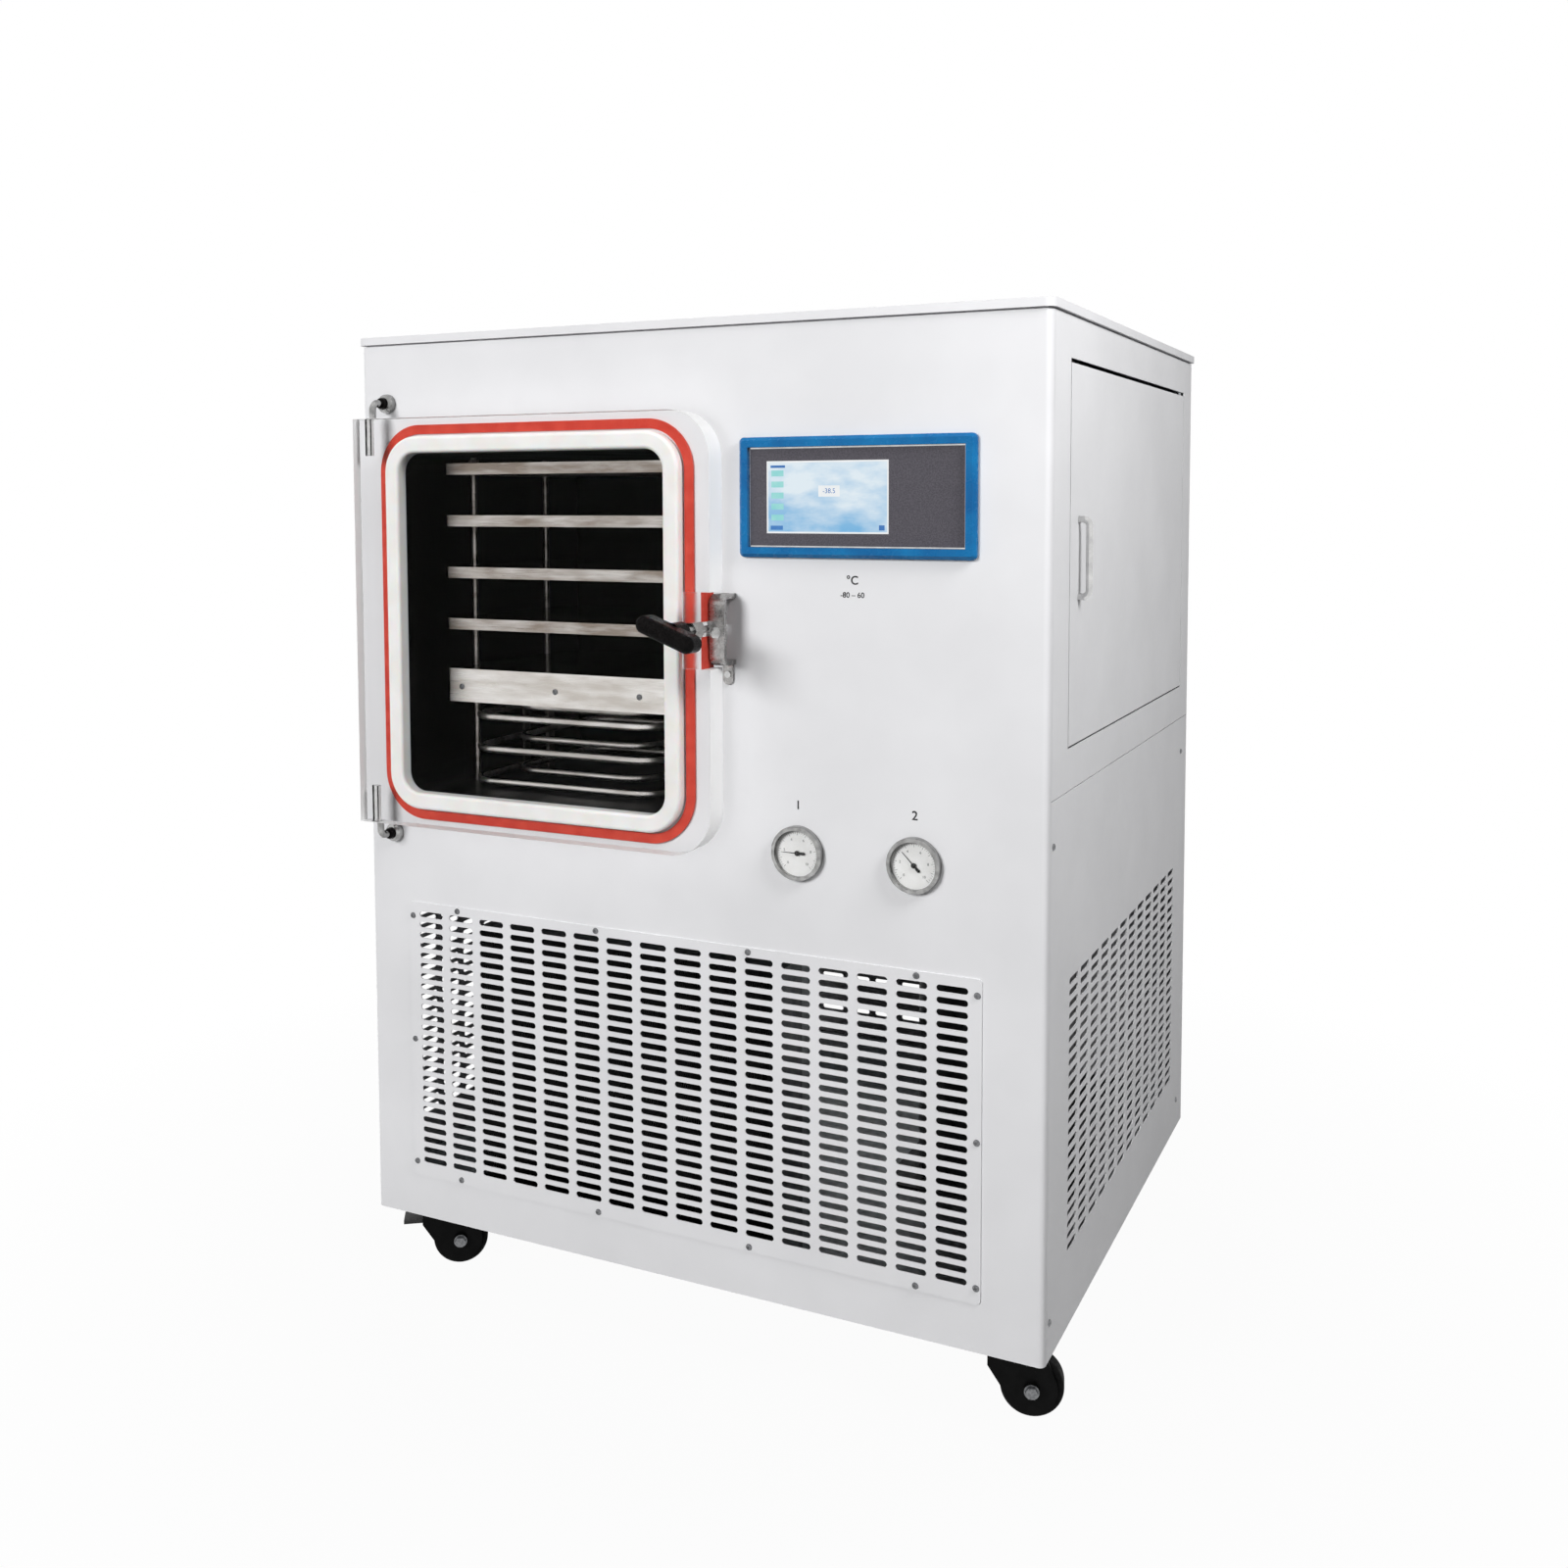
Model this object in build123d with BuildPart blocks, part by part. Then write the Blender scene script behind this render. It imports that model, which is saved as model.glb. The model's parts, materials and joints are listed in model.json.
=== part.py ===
"""Laboratory freeze dryer: a sheet-metal cabinet on casters with a clear-doored drying chamber.

Units are millimetres, +Z is up and the front faces -Y.  The origin lies on the floor, under the
middle of the footprint.  Heights named *_h are measured from the cabinet's underside.
"""
import os
from math import cos, radians, sin

from build123d import *

os.makedirs("parts", exist_ok=True)

# ---------------------------------------------------------------- driving dimensions
# Cabinet
cabinet_width = 955
cabinet_depth = 790
body_height = 1190
ground_gap = 95              # floor to the cabinet's underside
front_sheet = 2
side_sheet = 1.5
corner_radius = 8
wrap_depth = 10              # how far the front and rear panels fold round the corners
panel_seam = 0.5             # gap between a side panel and the folded corner
flange_depth = 20            # folded edge of a side panel
pan_floor = 3
pan_wall_h = 50

# Lid
lid_band = 10
lid_seat = 2                 # shadow gap between the wall tops and the lid's skirt
lid_overhang = 4
lid_flange = 30

# Side panels: a fixed upper and a slotted lower one, split at the seam
seam_h = 647
seam_gap = 1.6
slot_length = 38.5
slot_width = 8
side_slot_pitch_y = 51
side_slot_pitch_z = 14
side_slot_rows = 24
side_slot_margin = 92        # front and rear edges of the cabinet to the first slots
side_slot_mid_h = 258

# Access doors, one on each side
access_front = 80            # front panel to the door's front edge
access_rear = 65             # door's rear edge to the rear panel
access_bottom_h = 699
access_top_margin = 52
access_depth = 12
access_gap = 2.5
access_top_gap = 5
access_sheet = 1.5
pin_r = 3
pin_inset_x = 6
pin_inset_y = 8
pin_engage = 8               # pin length inside the door
pin_block = (12, 16, 12)     # block that holds a hinge pin
pin_block_inset = 6
pin_block_gap = 0.5
bow_r = 4                    # bow handle bar radius
bow_reach = 17
bow_bend = 8
bow_span = 90
bow_mid_h = 915
bow_inset = 37               # door's front edge to the bow handle

# Vent grille on the front
grille_width = 814
grille_height = 381
grille_x = -4.7
grille_mid_h = 249
grille_sheet = 1.5
grille_columns = 16
grille_rows = 25
grille_pitch_x = 49.5
grille_pitch_z = 14.25
grille_slot_rise = 3.5       # the slots sit this much above the plate's middle
grille_screw_pitch = 218.3
grille_end_screw_pitch = 171.5
grille_screw_edge = 5.5
grille_corner = 5
window_margin = 12.5         # plate edge to the hole behind it
window_top_margin = 10

# Rows of slots in the rear panel
rear_slot_columns = 10
rear_slot_rows = 12
rear_slot_pitch_z = 28.5

# Small pan-head screws
screw_head_r = 4
screw_head_t = 2
screw_shank_r = 1.9
screw_hole_r = 2
screw_grip = 8
head_seat = 0.05             # hairline that keeps neighbouring solids apart
side_screw_front = 20
side_screw_rear = 50
side_screw_top = 52
side_screw_bottom = 45

# Drying chamber
chamber_from_left = 280.5    # cabinet's left side to the chamber's middle
chamber_mid_h = 821
chamber_width = 400
chamber_height = 450
chamber_depth = 410
chamber_corner = 26
chamber_wall = 3
chamber_flange = 38
insulation = 30
deck_sheet = 3
deck_clearance = 3           # deck edge to the folded corners, front and rear
deck_cut_margin = 5          # round the gauge cases

# Door seal and the red band round it
seal_width = 22
seal_free = 0.3              # seal to the closed door
seal_round = 4.4
band_gap = 3
band_width = 12
band_t = 3

# Clear door
door_gap = 15                # front panel to the door's back
door_t = 32
door_left = 57               # chamber opening to the door's left edge
door_right = 76
door_top = 45
door_bottom = 41
door_corner = 57
door_heel = 9                # bevel on the rear hinge-side edge
notch_width = 12
notch_height = 92
notch_drop = 1.5             # notch middle under the spindle
pocket_width = 25
pocket_depth = 2

# Door hinge rods
hinge_inset = 20             # door's left edge to the hinge axis
rod_r = 4.5
rod_rise = 22                # rod above the door's top edge
rod_flange_r = 9
rod_flange_t = 4
rod_bend = 10
rod_depth = 46               # rod inside the door
rod_end_gap = 2
bush_wall = 2
bush_rim = 1.5
spindle_bush_r = 6.5
spindle_bush_back = 0.5      # bush sits this much inside the door's back face
running_fit = 0.05

# Latch
spindle_inset = 17           # door's right edge to the spindle
spindle_up = 9               # spindle above the chamber's middle
spindle_r = 5
hex_across = 19
hex_length = 23
hub_r = 12.5
hub_start = 85
hub_socket = 12              # spindle length inside the hub
hub_lap = 5                  # hub length sunk in the bar
bar_start = 105
bar_end = 130
bar_length = 80
bar_height = 21
bar_round = 7.35
bar_tilt = -21
dog_start = 3.5
dog_t = 8.5
dog_reach = 27
dog_width = 12
dog_hub_r = 6.5
keeper_gap = 8               # spindle to the keeper's near edge
keeper_width = 20
keeper_reach = 31
keeper_half = 43
keeper_strap = 6
keeper_bend = 12
keeper_foot = 25
keeper_foot_width = 14
keeper_foot_t = 2.5
keeper_slot = 12             # slot in the strap's top
keeper_slot_out = 10.3       # front panel to the slot's middle
strike_r = 4
strike_head = 12.8           # across flats
strike_head_t = 4
strike_drop = 4
strike_gap = 0.3

# Shelves and cold trap
shelf_width = 346
shelf_depth = 272
shelf_t = 15
shelf_corner = 4
shelf_front = 50             # front panel to the shelves' front edge
shelf_pitch = 69.5
top_shelf_h = 1026
shelf_count = 4
base_t = 45
base_bottom_h = 712
shelf_rod_r = 4
shelf_rod_inset_x = 10
shelf_rod_inset_y = 50
nut_across = 13
nut_t = 6.5
stud_end = 2                 # rod past its nut
coil_tube_r = 5
coil_levels = (604, 648, 692)
coil_front = 62
coil_outer = (300, 290)
coil_step = 42               # outer loop to inner loop
coil_stagger = 10.5          # inner loops above the outer ones
coil_corner = 42
bracket_w = 14
bracket_t = 3

# Touch screen
hmi_from_right = 231.5
hmi_mid_h = 986.5
hmi_frame_size = (296, 142)
hmi_border = 12
hmi_corner = 6
hmi_chamfer = 4
hmi_frame_t = 9
hmi_bezel_t = 4
hmi_box = (250, 100, 45)
hmi_fit = 0.5
hmi_bezel_fit = 0.3
screen_size = (155, 85)
screen_shift = -35
screen_t = 1.5
screen_recess = 2

# Dial gauges
gauge_from_right = 157.5
gauge_pitch = 148
gauge_mid_h = 563
gauge_bezel_r = 33
gauge_bezel_t = 9
gauge_case_r = 30
gauge_case_depth = 30
gauge_round = 3
gauge_fit = 0.2
gauge_dial_r = 28
gauge_dial_back = 1
gauge_dial_t = 1
glass_t = 1.5
glass_inset = 1
needle_back = 3
needle_t = 0.8
needle_reach = 20
needle_tail = 8
needle_hub_r = 3.5
needle_shaft_r = 1
needle_shaft = 10
needle_hole = 15
needle_width = 1.4
needle_angles = {"left": 180, "right": 135}

# Refrigeration and electrics inside
condenser_size = (460, 60, 400)
condenser_x = -100
condenser_back = 40          # front panel to the condenser
condenser_groove = 8         # grooves between groups of fins
condenser_grooves = 23
condenser_groove_depth = 10
condenser_margin = 20
fan_sheet = 2
shroud_depth = 50
fan_hole_r = 155
fan_r = 146
fan_hub_r = 40
fan_hub_t = 25
fan_blades = 6
fan_chord = 64
fan_blade_t = 3
fan_pitch = 30
fan_shaft_r = 5
fan_root = 4                 # blade length sunk in the hub
motor_r = 45
motor_t = 44
motor_bore = 31
motor_shaft = 22             # shaft length inside the motor
motor_arm = 14
compressor_r = 115
compressor_height = 360
compressor_x = 270
compressor_back = 480
compressor_foot = 260
compressor_foot_t = 6
compressor_foot_corner = 20
compressor_dome = 45
compressor_wall = 12
box_size = (270, 330, 340)
box_corner = 6
box_sheet = 2
box_x = 270
box_back = 390

# Vacuum port on the rear
port_r = 20
port_bore_r = 18
port_inlet_r = 15            # hole in the chamber's rear wall
port_flange_r = 27.5
port_flange_t = 6
port_reach = 45
port_h = 650

# Casters
wheel_r = 37.5
wheel_width = 28
wheel_fillet = 6
caster_inset = 60
caster_trail = 28
caster_plate = (95, 75, 4)
race_r = 23
race_gap = 0.5
fork_top_t = 4
fork_leg_t = 3
fork_leg_gap = 1.5
fork_top_gap = 3             # wheel to the fork's top
fork_lip = 1                 # fork past the race, in front
fork_tail = 15               # fork past the axle, behind
fork_cover_r = 30
fork_side = 20               # height of the fork's sides under its top
kingpin_r = 6
axle_r = 5
axle_head = 14
axle_head_t = 5
pedal_pin_r = 2.5
pedal_barrel_r = 6
pedal_reach = 34
pedal_t = 5
pedal_drop = 1
pedal_side_gap = 1
pedal_pin_u = -16
pedal_pin_drop = 15          # fork's top to the pedal's pin
caster_angles = {"front_left": 35, "front_right": 15, "rear_left": 160, "rear_right": 205}
braked_casters = ("front_left", "rear_left")

# ---------------------------------------------------------------- derived places
half_width = cabinet_width / 2
front_y = -(cabinet_depth + port_reach - bar_end) / 2
rear_y = front_y + cabinet_depth
top_z = ground_gap + body_height
chamber_x = -half_width + chamber_from_left
chamber_z = ground_gap + chamber_mid_h
door_x0 = chamber_x - chamber_width / 2 - door_left
door_x1 = chamber_x + chamber_width / 2 + door_right
door_z0 = chamber_z - chamber_height / 2 - door_bottom
door_z1 = chamber_z + chamber_height / 2 + door_top
hinge_x = door_x0 + hinge_inset
hinge_reach = door_gap + door_t / 2
spindle_x = door_x1 - spindle_inset
spindle_z = chamber_z + spindle_up
keeper_x0 = spindle_x + keeper_gap
hmi_x = half_width - hmi_from_right
hmi_z = ground_gap + hmi_mid_h
gauge_z = ground_gap + gauge_mid_h
gauge_xs = {
    "left": half_width - gauge_from_right - gauge_pitch,
    "right": half_width - gauge_from_right,
}
grille_z = ground_gap + grille_mid_h
grille_screw_points = [
    (grille_x + column * grille_screw_pitch, grille_z + row * (grille_height / 2 - grille_screw_edge))
    for column in (-1.5, -0.5, 0.5, 1.5)
    for row in (-1, 1)
] + [
    (grille_x + column * (grille_width / 2 - grille_screw_edge), grille_z + row * grille_end_screw_pitch)
    for column in (-1, 1)
    for row in (-1, 0, 1)
]
seam_z = ground_gap + seam_h
side_y0 = front_y + wrap_depth + panel_seam
side_y1 = rear_y - wrap_depth - panel_seam
access_y0 = front_y + access_front
access_y1 = rear_y - access_rear
access_z0 = ground_gap + access_bottom_h
access_z1 = top_z - access_top_margin
access_pin_x = half_width - pin_inset_x
access_pin_y = access_y1 - pin_inset_y
bow_y = access_y0 + bow_inset
bow_z = ground_gap + bow_mid_h
bracket_x = half_width - side_sheet - pin_block_inset
pan_top_z = ground_gap + pan_floor
deck_top_z = chamber_z - chamber_height / 2 - chamber_wall - insulation
chamber_floor_z = chamber_z - chamber_height / 2
flange_back = front_sheet + chamber_wall
fan_z = pan_top_z + condenser_size[2] / 2
shroud_back = condenser_back + condenser_size[1] + shroud_depth
port_z = ground_gap + port_h
fork_top_z = 2 * wheel_r + fork_top_gap + fork_top_t
pedal_pin_z = fork_top_z - pedal_pin_drop
caster_places = {
    name: (
        (half_width - caster_inset) * (1 if name.endswith("right") else -1),
        front_y + caster_inset if name.startswith("front") else rear_y - caster_inset,
    )
    for name in caster_angles
}


# ---------------------------------------------------------------- helpers
def front(reach=0):
    """Plane facing the user, reach mm in front of the front panel: local x is X, local y is Z."""
    return Plane(origin=(0, front_y - reach, 0), x_dir=(1, 0, 0), z_dir=(0, -1, 0))


def side(x):
    """Plane facing +X at x: local x is Y, local y is Z."""
    return Plane(origin=(x, 0, 0), x_dir=(0, 1, 0), z_dir=(1, 0, 0))


def caster_plane(name):
    """Plane through a caster's swivel axis, across its axle: local x trails, local y is Z."""
    x, y = caster_places[name]
    a = radians(caster_angles[name])
    return Plane(origin=(x, y, 0), x_dir=(cos(a), sin(a), 0), z_dir=(sin(a), -cos(a), 0))


def save(piece, name):
    """Label a finished piece and write its STEP file."""
    piece.part.label = name
    export_step(piece.part, f"parts/{name}.step")


# ---------------------------------------------------------------- cabinet
with BuildPart() as base_pan:
    with BuildSketch(Plane.XY.offset(ground_gap)):
        with Locations((0, front_y + cabinet_depth / 2)):
            Rectangle(
                cabinet_width - 2 * (flange_depth + panel_seam),
                cabinet_depth - 2 * (wrap_depth + panel_seam),
            )
    extrude(amount=pan_wall_h)
    offset(amount=-pan_floor, openings=base_pan.faces().sort_by(Axis.Z)[-1])
save(base_pan, "base_pan")

with BuildPart() as front_panel:
    with BuildSketch(Plane.XY.offset(ground_gap)):
        with Locations((0, front_y + wrap_depth / 2)):
            Rectangle(cabinet_width, wrap_depth)
    extrude(amount=body_height)
    fillet(front_panel.edges().filter_by(Axis.Z).group_by(Axis.Y)[0], corner_radius)
    offset(amount=-front_sheet, openings=front_panel.faces().sort_by(Axis.Y)[-1])
    with BuildSketch(front()):
        with Locations((chamber_x, chamber_z)):
            RectangleRounded(chamber_width, chamber_height, chamber_corner)
        with Locations((hmi_x, hmi_z)):
            Rectangle(hmi_box[0] + 2 * hmi_fit, hmi_box[1] + 2 * hmi_fit)
        with Locations([(x, gauge_z) for x in gauge_xs.values()]):
            Circle(gauge_case_r + gauge_fit)
        with Locations((grille_x, grille_z + (window_margin - window_top_margin) / 2)):
            Rectangle(
                grille_width - 2 * window_margin,
                grille_height - window_margin - window_top_margin,
            )
        with Locations(grille_screw_points):
            Circle(screw_hole_r)
    extrude(amount=-2 * front_sheet, mode=Mode.SUBTRACT)
save(front_panel, "front_panel")

with BuildPart() as lid:
    lid_z = top_z + lid_seat
    lid_x = cabinet_width + 2 * lid_overhang
    lid_y = cabinet_depth + 2 * lid_overhang
    with BuildSketch(Plane.XY.offset(lid_z)):
        with Locations((0, front_y + cabinet_depth / 2)):
            RectangleRounded(lid_x, lid_y, corner_radius + lid_overhang)
    extrude(amount=lid_band)
    with BuildSketch(Plane.XY.offset(lid_z + side_sheet)):
        with Locations((0, front_y + cabinet_depth / 2)):
            RectangleRounded(lid_x - 2 * side_sheet, lid_y - 2 * side_sheet, corner_radius)
    extrude(amount=lid_band - 2 * side_sheet, mode=Mode.SUBTRACT)
    with BuildSketch(Plane.XY.offset(lid_z)):
        with Locations((0, front_y + cabinet_depth / 2)):
            Rectangle(lid_x - 2 * lid_flange, lid_y - 2 * lid_flange)
    extrude(amount=side_sheet, mode=Mode.SUBTRACT)
    with BuildSketch(Plane.XY.offset(top_z)):
        with Locations((0, front_y + cabinet_depth / 2)):
            RectangleRounded(
                cabinet_width - 2 * lid_overhang, cabinet_depth - 2 * lid_overhang, lid_overhang
            )
            Rectangle(lid_x - 2 * lid_flange, lid_y - 2 * lid_flange, mode=Mode.SUBTRACT)
    extrude(amount=lid_seat)
save(lid, "lid")

port_hole = Plane(origin=(chamber_x, rear_y, port_z), x_dir=(-1, 0, 0), z_dir=(0, 1, 0))
with BuildPart() as rear_panel:
    with BuildSketch(Plane.XY.offset(ground_gap)):
        with Locations((0, rear_y - wrap_depth / 2)):
            Rectangle(cabinet_width, wrap_depth)
    extrude(amount=body_height)
    fillet(rear_panel.edges().filter_by(Axis.Z).group_by(Axis.Y)[-1], corner_radius)
    offset(amount=-front_sheet, openings=rear_panel.faces().sort_by(Axis.Y)[0])
    with BuildSketch(front(-cabinet_depth)):
        with Locations((grille_x, grille_z)):
            with GridLocations(
                grille_pitch_x, rear_slot_pitch_z, rear_slot_columns, rear_slot_rows
            ):
                SlotOverall(slot_length, slot_width)
    extrude(amount=2 * front_sheet, mode=Mode.SUBTRACT)
    with BuildSketch(port_hole):
        Circle(port_r + head_seat)
    extrude(amount=-2 * front_sheet, mode=Mode.SUBTRACT)
save(rear_panel, "rear_panel")


def side_pan(bottom_z, height):
    """Folded sheet for the right side: a shallow pan that opens inward."""
    with BuildPart() as pan:
        with BuildSketch(side(half_width)):
            with Locations(((side_y0 + side_y1) / 2, bottom_z + height / 2)):
                Rectangle(side_y1 - side_y0, height)
        extrude(amount=-flange_depth)
        offset(amount=-side_sheet, openings=pan.faces().sort_by(Axis.X)[0])
    return pan.part


side_slot_count = int((cabinet_depth - 2 * side_slot_margin - slot_length) / side_slot_pitch_y) + 1
side_screw_points = [
    (front_y + side_screw_front, seam_z - side_screw_top),
    (rear_y - side_screw_rear, seam_z - side_screw_top),
    (front_y + side_screw_front, ground_gap + side_screw_bottom),
    (rear_y - side_screw_rear, ground_gap + side_screw_bottom),
]
with BuildPart() as lower_side_panels:
    add(side_pan(ground_gap, seam_h - seam_gap / 2))
    with BuildSketch(side(half_width)):
        with Locations((front_y + cabinet_depth / 2, ground_gap + side_slot_mid_h)):
            with GridLocations(
                side_slot_pitch_y, side_slot_pitch_z, side_slot_count, side_slot_rows
            ):
                SlotOverall(slot_length, slot_width)
        with Locations(side_screw_points):
            Circle(screw_hole_r)
    extrude(amount=-2 * side_sheet, mode=Mode.SUBTRACT)
    mirror(about=Plane.YZ)
save(lower_side_panels, "lower_side_panels")

with BuildPart() as upper_side_panels:
    add(side_pan(seam_z + seam_gap / 2, top_z - seam_z - seam_gap / 2))
    with BuildSketch(side(half_width)):
        with Locations(
            (
                (access_y0 + access_y1) / 2,
                (access_z0 + access_z1 + access_top_gap - access_gap) / 2,
            )
        ):
            Rectangle(
                access_y1 - access_y0 + 2 * access_gap,
                access_z1 - access_z0 + access_gap + access_top_gap,
            )
    extrude(amount=-2 * side_sheet, mode=Mode.SUBTRACT)
    mirror(about=Plane.YZ)
save(upper_side_panels, "upper_side_panels")

with BuildPart() as access_door_right:
    with BuildSketch(side(half_width)):
        with Locations(((access_y0 + access_y1) / 2, (access_z0 + access_z1) / 2)):
            Rectangle(access_y1 - access_y0, access_z1 - access_z0)
    extrude(amount=-access_depth)
    offset(amount=-access_sheet, openings=access_door_right.faces().sort_by(Axis.X)[0])
    with BuildSketch(Plane.XY.offset(access_z0)):
        with Locations((access_pin_x, access_pin_y)):
            Circle(pin_r + running_fit)
    extrude(amount=access_z1 - access_z0, mode=Mode.SUBTRACT)
save(access_door_right, "access_door_right")

with BuildPart() as access_door_left:
    mirror(access_door_right.part, about=Plane.YZ)
save(access_door_left, "access_door_left")

with BuildPart() as access_handle_right:
    bow_x = half_width + bow_reach - bow_r
    with BuildLine(Plane.XZ.offset(-bow_y)):
        FilletPolyline(
            (half_width, bow_z + bow_span / 2),
            (bow_x, bow_z + bow_span / 2),
            (bow_x, bow_z - bow_span / 2),
            (half_width, bow_z - bow_span / 2),
            radius=bow_bend,
        )
    with BuildSketch(Plane(origin=(half_width, bow_y, bow_z + bow_span / 2), z_dir=(1, 0, 0))):
        Circle(bow_r)
    sweep()
save(access_handle_right, "access_handle_right")

with BuildPart() as access_handle_left:
    mirror(access_handle_right.part, about=Plane.YZ)
save(access_handle_left, "access_handle_left")

with BuildPart() as access_hinge_pins:
    for seat_z, direction in (
        (access_z1 + access_top_gap + pin_block_gap, 1),
        (access_z0 - access_gap - pin_block_gap, -1),
    ):
        with BuildSketch(Plane.XY.offset(seat_z)):
            with Locations((bracket_x, access_pin_y)):
                Rectangle(pin_block[0], pin_block[1])
        extrude(amount=pin_block[2] * direction)
        with BuildSketch(Plane.XY.offset(seat_z)):
            with Locations((access_pin_x, access_pin_y)):
                Circle(pin_r)
        extrude(amount=-(pin_engage + access_gap) * direction)
    mirror(about=Plane.YZ)
save(access_hinge_pins, "access_hinge_pins")

with BuildPart() as grille_plate:
    with BuildSketch(front()):
        with Locations((grille_x, grille_z)):
            RectangleRounded(grille_width, grille_height, grille_corner)
            with Locations((0, grille_slot_rise)):
                with GridLocations(
                    grille_pitch_x, grille_pitch_z, grille_columns, grille_rows
                ):
                    SlotOverall(slot_length, slot_width, mode=Mode.SUBTRACT)
        with Locations(grille_screw_points):
            Circle(screw_hole_r, mode=Mode.SUBTRACT)
    extrude(amount=grille_sheet)
save(grille_plate, "grille_plate")

with BuildPart() as grille_screws:
    for radius, length in ((screw_head_r, screw_head_t), (screw_shank_r, -screw_grip)):
        with BuildSketch(front(grille_sheet + head_seat)):
            with Locations(grille_screw_points):
                Circle(radius)
        extrude(amount=length)
save(grille_screws, "grille_screws")

with BuildPart() as panel_screws:
    for radius, length in ((screw_head_r, screw_head_t), (screw_shank_r, -screw_grip)):
        with BuildSketch(side(half_width + head_seat)):
            with Locations(side_screw_points):
                Circle(radius)
        extrude(amount=length)
    mirror(about=Plane.YZ)
save(panel_screws, "panel_screws")

with BuildPart() as machine_deck:
    with BuildSketch(Plane.XY.offset(deck_top_z)):
        with Locations((0, front_y + cabinet_depth / 2)):
            Rectangle(cabinet_width - 2 * side_sheet, cabinet_depth - 2 * (wrap_depth + deck_clearance))
    extrude(amount=-deck_sheet)
    with BuildSketch(Plane.XY.offset(deck_top_z)):
        with Locations((gauge_xs["left"] + gauge_pitch / 2, front_y + wrap_depth)):
            Rectangle(
                gauge_pitch + 2 * (gauge_case_r + deck_cut_margin),
                2 * (gauge_case_depth + deck_cut_margin),
            )
    extrude(amount=-deck_sheet, mode=Mode.SUBTRACT)
save(machine_deck, "machine_deck")

# ---------------------------------------------------------------- drying chamber
with BuildPart() as chamber_shell:
    with BuildSketch(front(-front_sheet)):
        with Locations((chamber_x, chamber_z)):
            RectangleRounded(
                chamber_width + 2 * chamber_flange,
                chamber_height + 2 * chamber_flange,
                chamber_corner + chamber_flange,
            )
    extrude(amount=-chamber_wall)
    with BuildSketch(front(-flange_back)):
        with Locations((chamber_x, chamber_z)):
            RectangleRounded(
                chamber_width + 2 * chamber_wall,
                chamber_height + 2 * chamber_wall,
                chamber_corner + chamber_wall,
            )
    extrude(amount=-chamber_depth)
    with BuildSketch(front(-front_sheet)):
        with Locations((chamber_x, chamber_z)):
            RectangleRounded(chamber_width, chamber_height, chamber_corner)
    extrude(amount=-chamber_depth, mode=Mode.SUBTRACT)
    with BuildSketch(front(-front_sheet - chamber_depth)):
        with Locations((chamber_x, port_z)):
            Circle(port_inlet_r)
    extrude(amount=-chamber_wall, mode=Mode.SUBTRACT)
save(chamber_shell, "chamber_shell")

with BuildPart() as chamber_insulation:
    with BuildSketch(front(-flange_back)):
        with Locations((chamber_x, chamber_z)):
            RectangleRounded(
                chamber_width + 2 * (chamber_wall + insulation),
                chamber_height + 2 * (chamber_wall + insulation),
                chamber_corner + chamber_wall + insulation,
            )
    extrude(amount=-chamber_depth - insulation)
    with BuildSketch(front(-flange_back)):
        with Locations((chamber_x, chamber_z)):
            RectangleRounded(
                chamber_width + 2 * chamber_wall,
                chamber_height + 2 * chamber_wall,
                chamber_corner + chamber_wall,
            )
    extrude(amount=-chamber_depth, mode=Mode.SUBTRACT)
    with BuildSketch(front(-flange_back)):
        with Locations((chamber_x, port_z)):
            Circle(port_r + head_seat)
    extrude(amount=-2 * chamber_depth, mode=Mode.SUBTRACT)
save(chamber_insulation, "chamber_insulation")

with BuildPart() as seal_backing:
    inner = seal_width + band_gap
    outer = inner + band_width
    with BuildSketch(front()):
        with Locations((chamber_x, chamber_z)):
            RectangleRounded(
                chamber_width + 2 * outer, chamber_height + 2 * outer, chamber_corner + outer
            )
            RectangleRounded(
                chamber_width + 2 * inner,
                chamber_height + 2 * inner,
                chamber_corner + inner,
                mode=Mode.SUBTRACT,
            )
    extrude(amount=band_t)
save(seal_backing, "seal_backing")

with BuildPart() as door_seal:
    with BuildSketch(front()):
        with Locations((chamber_x, chamber_z)):
            RectangleRounded(
                chamber_width + 2 * seal_width,
                chamber_height + 2 * seal_width,
                chamber_corner + seal_width,
            )
            RectangleRounded(chamber_width, chamber_height, chamber_corner, mode=Mode.SUBTRACT)
    extrude(amount=door_gap - seal_free)
    fillet(door_seal.faces().sort_by(Axis.Y)[0].edges(), seal_round)
save(door_seal, "door_seal")

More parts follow.
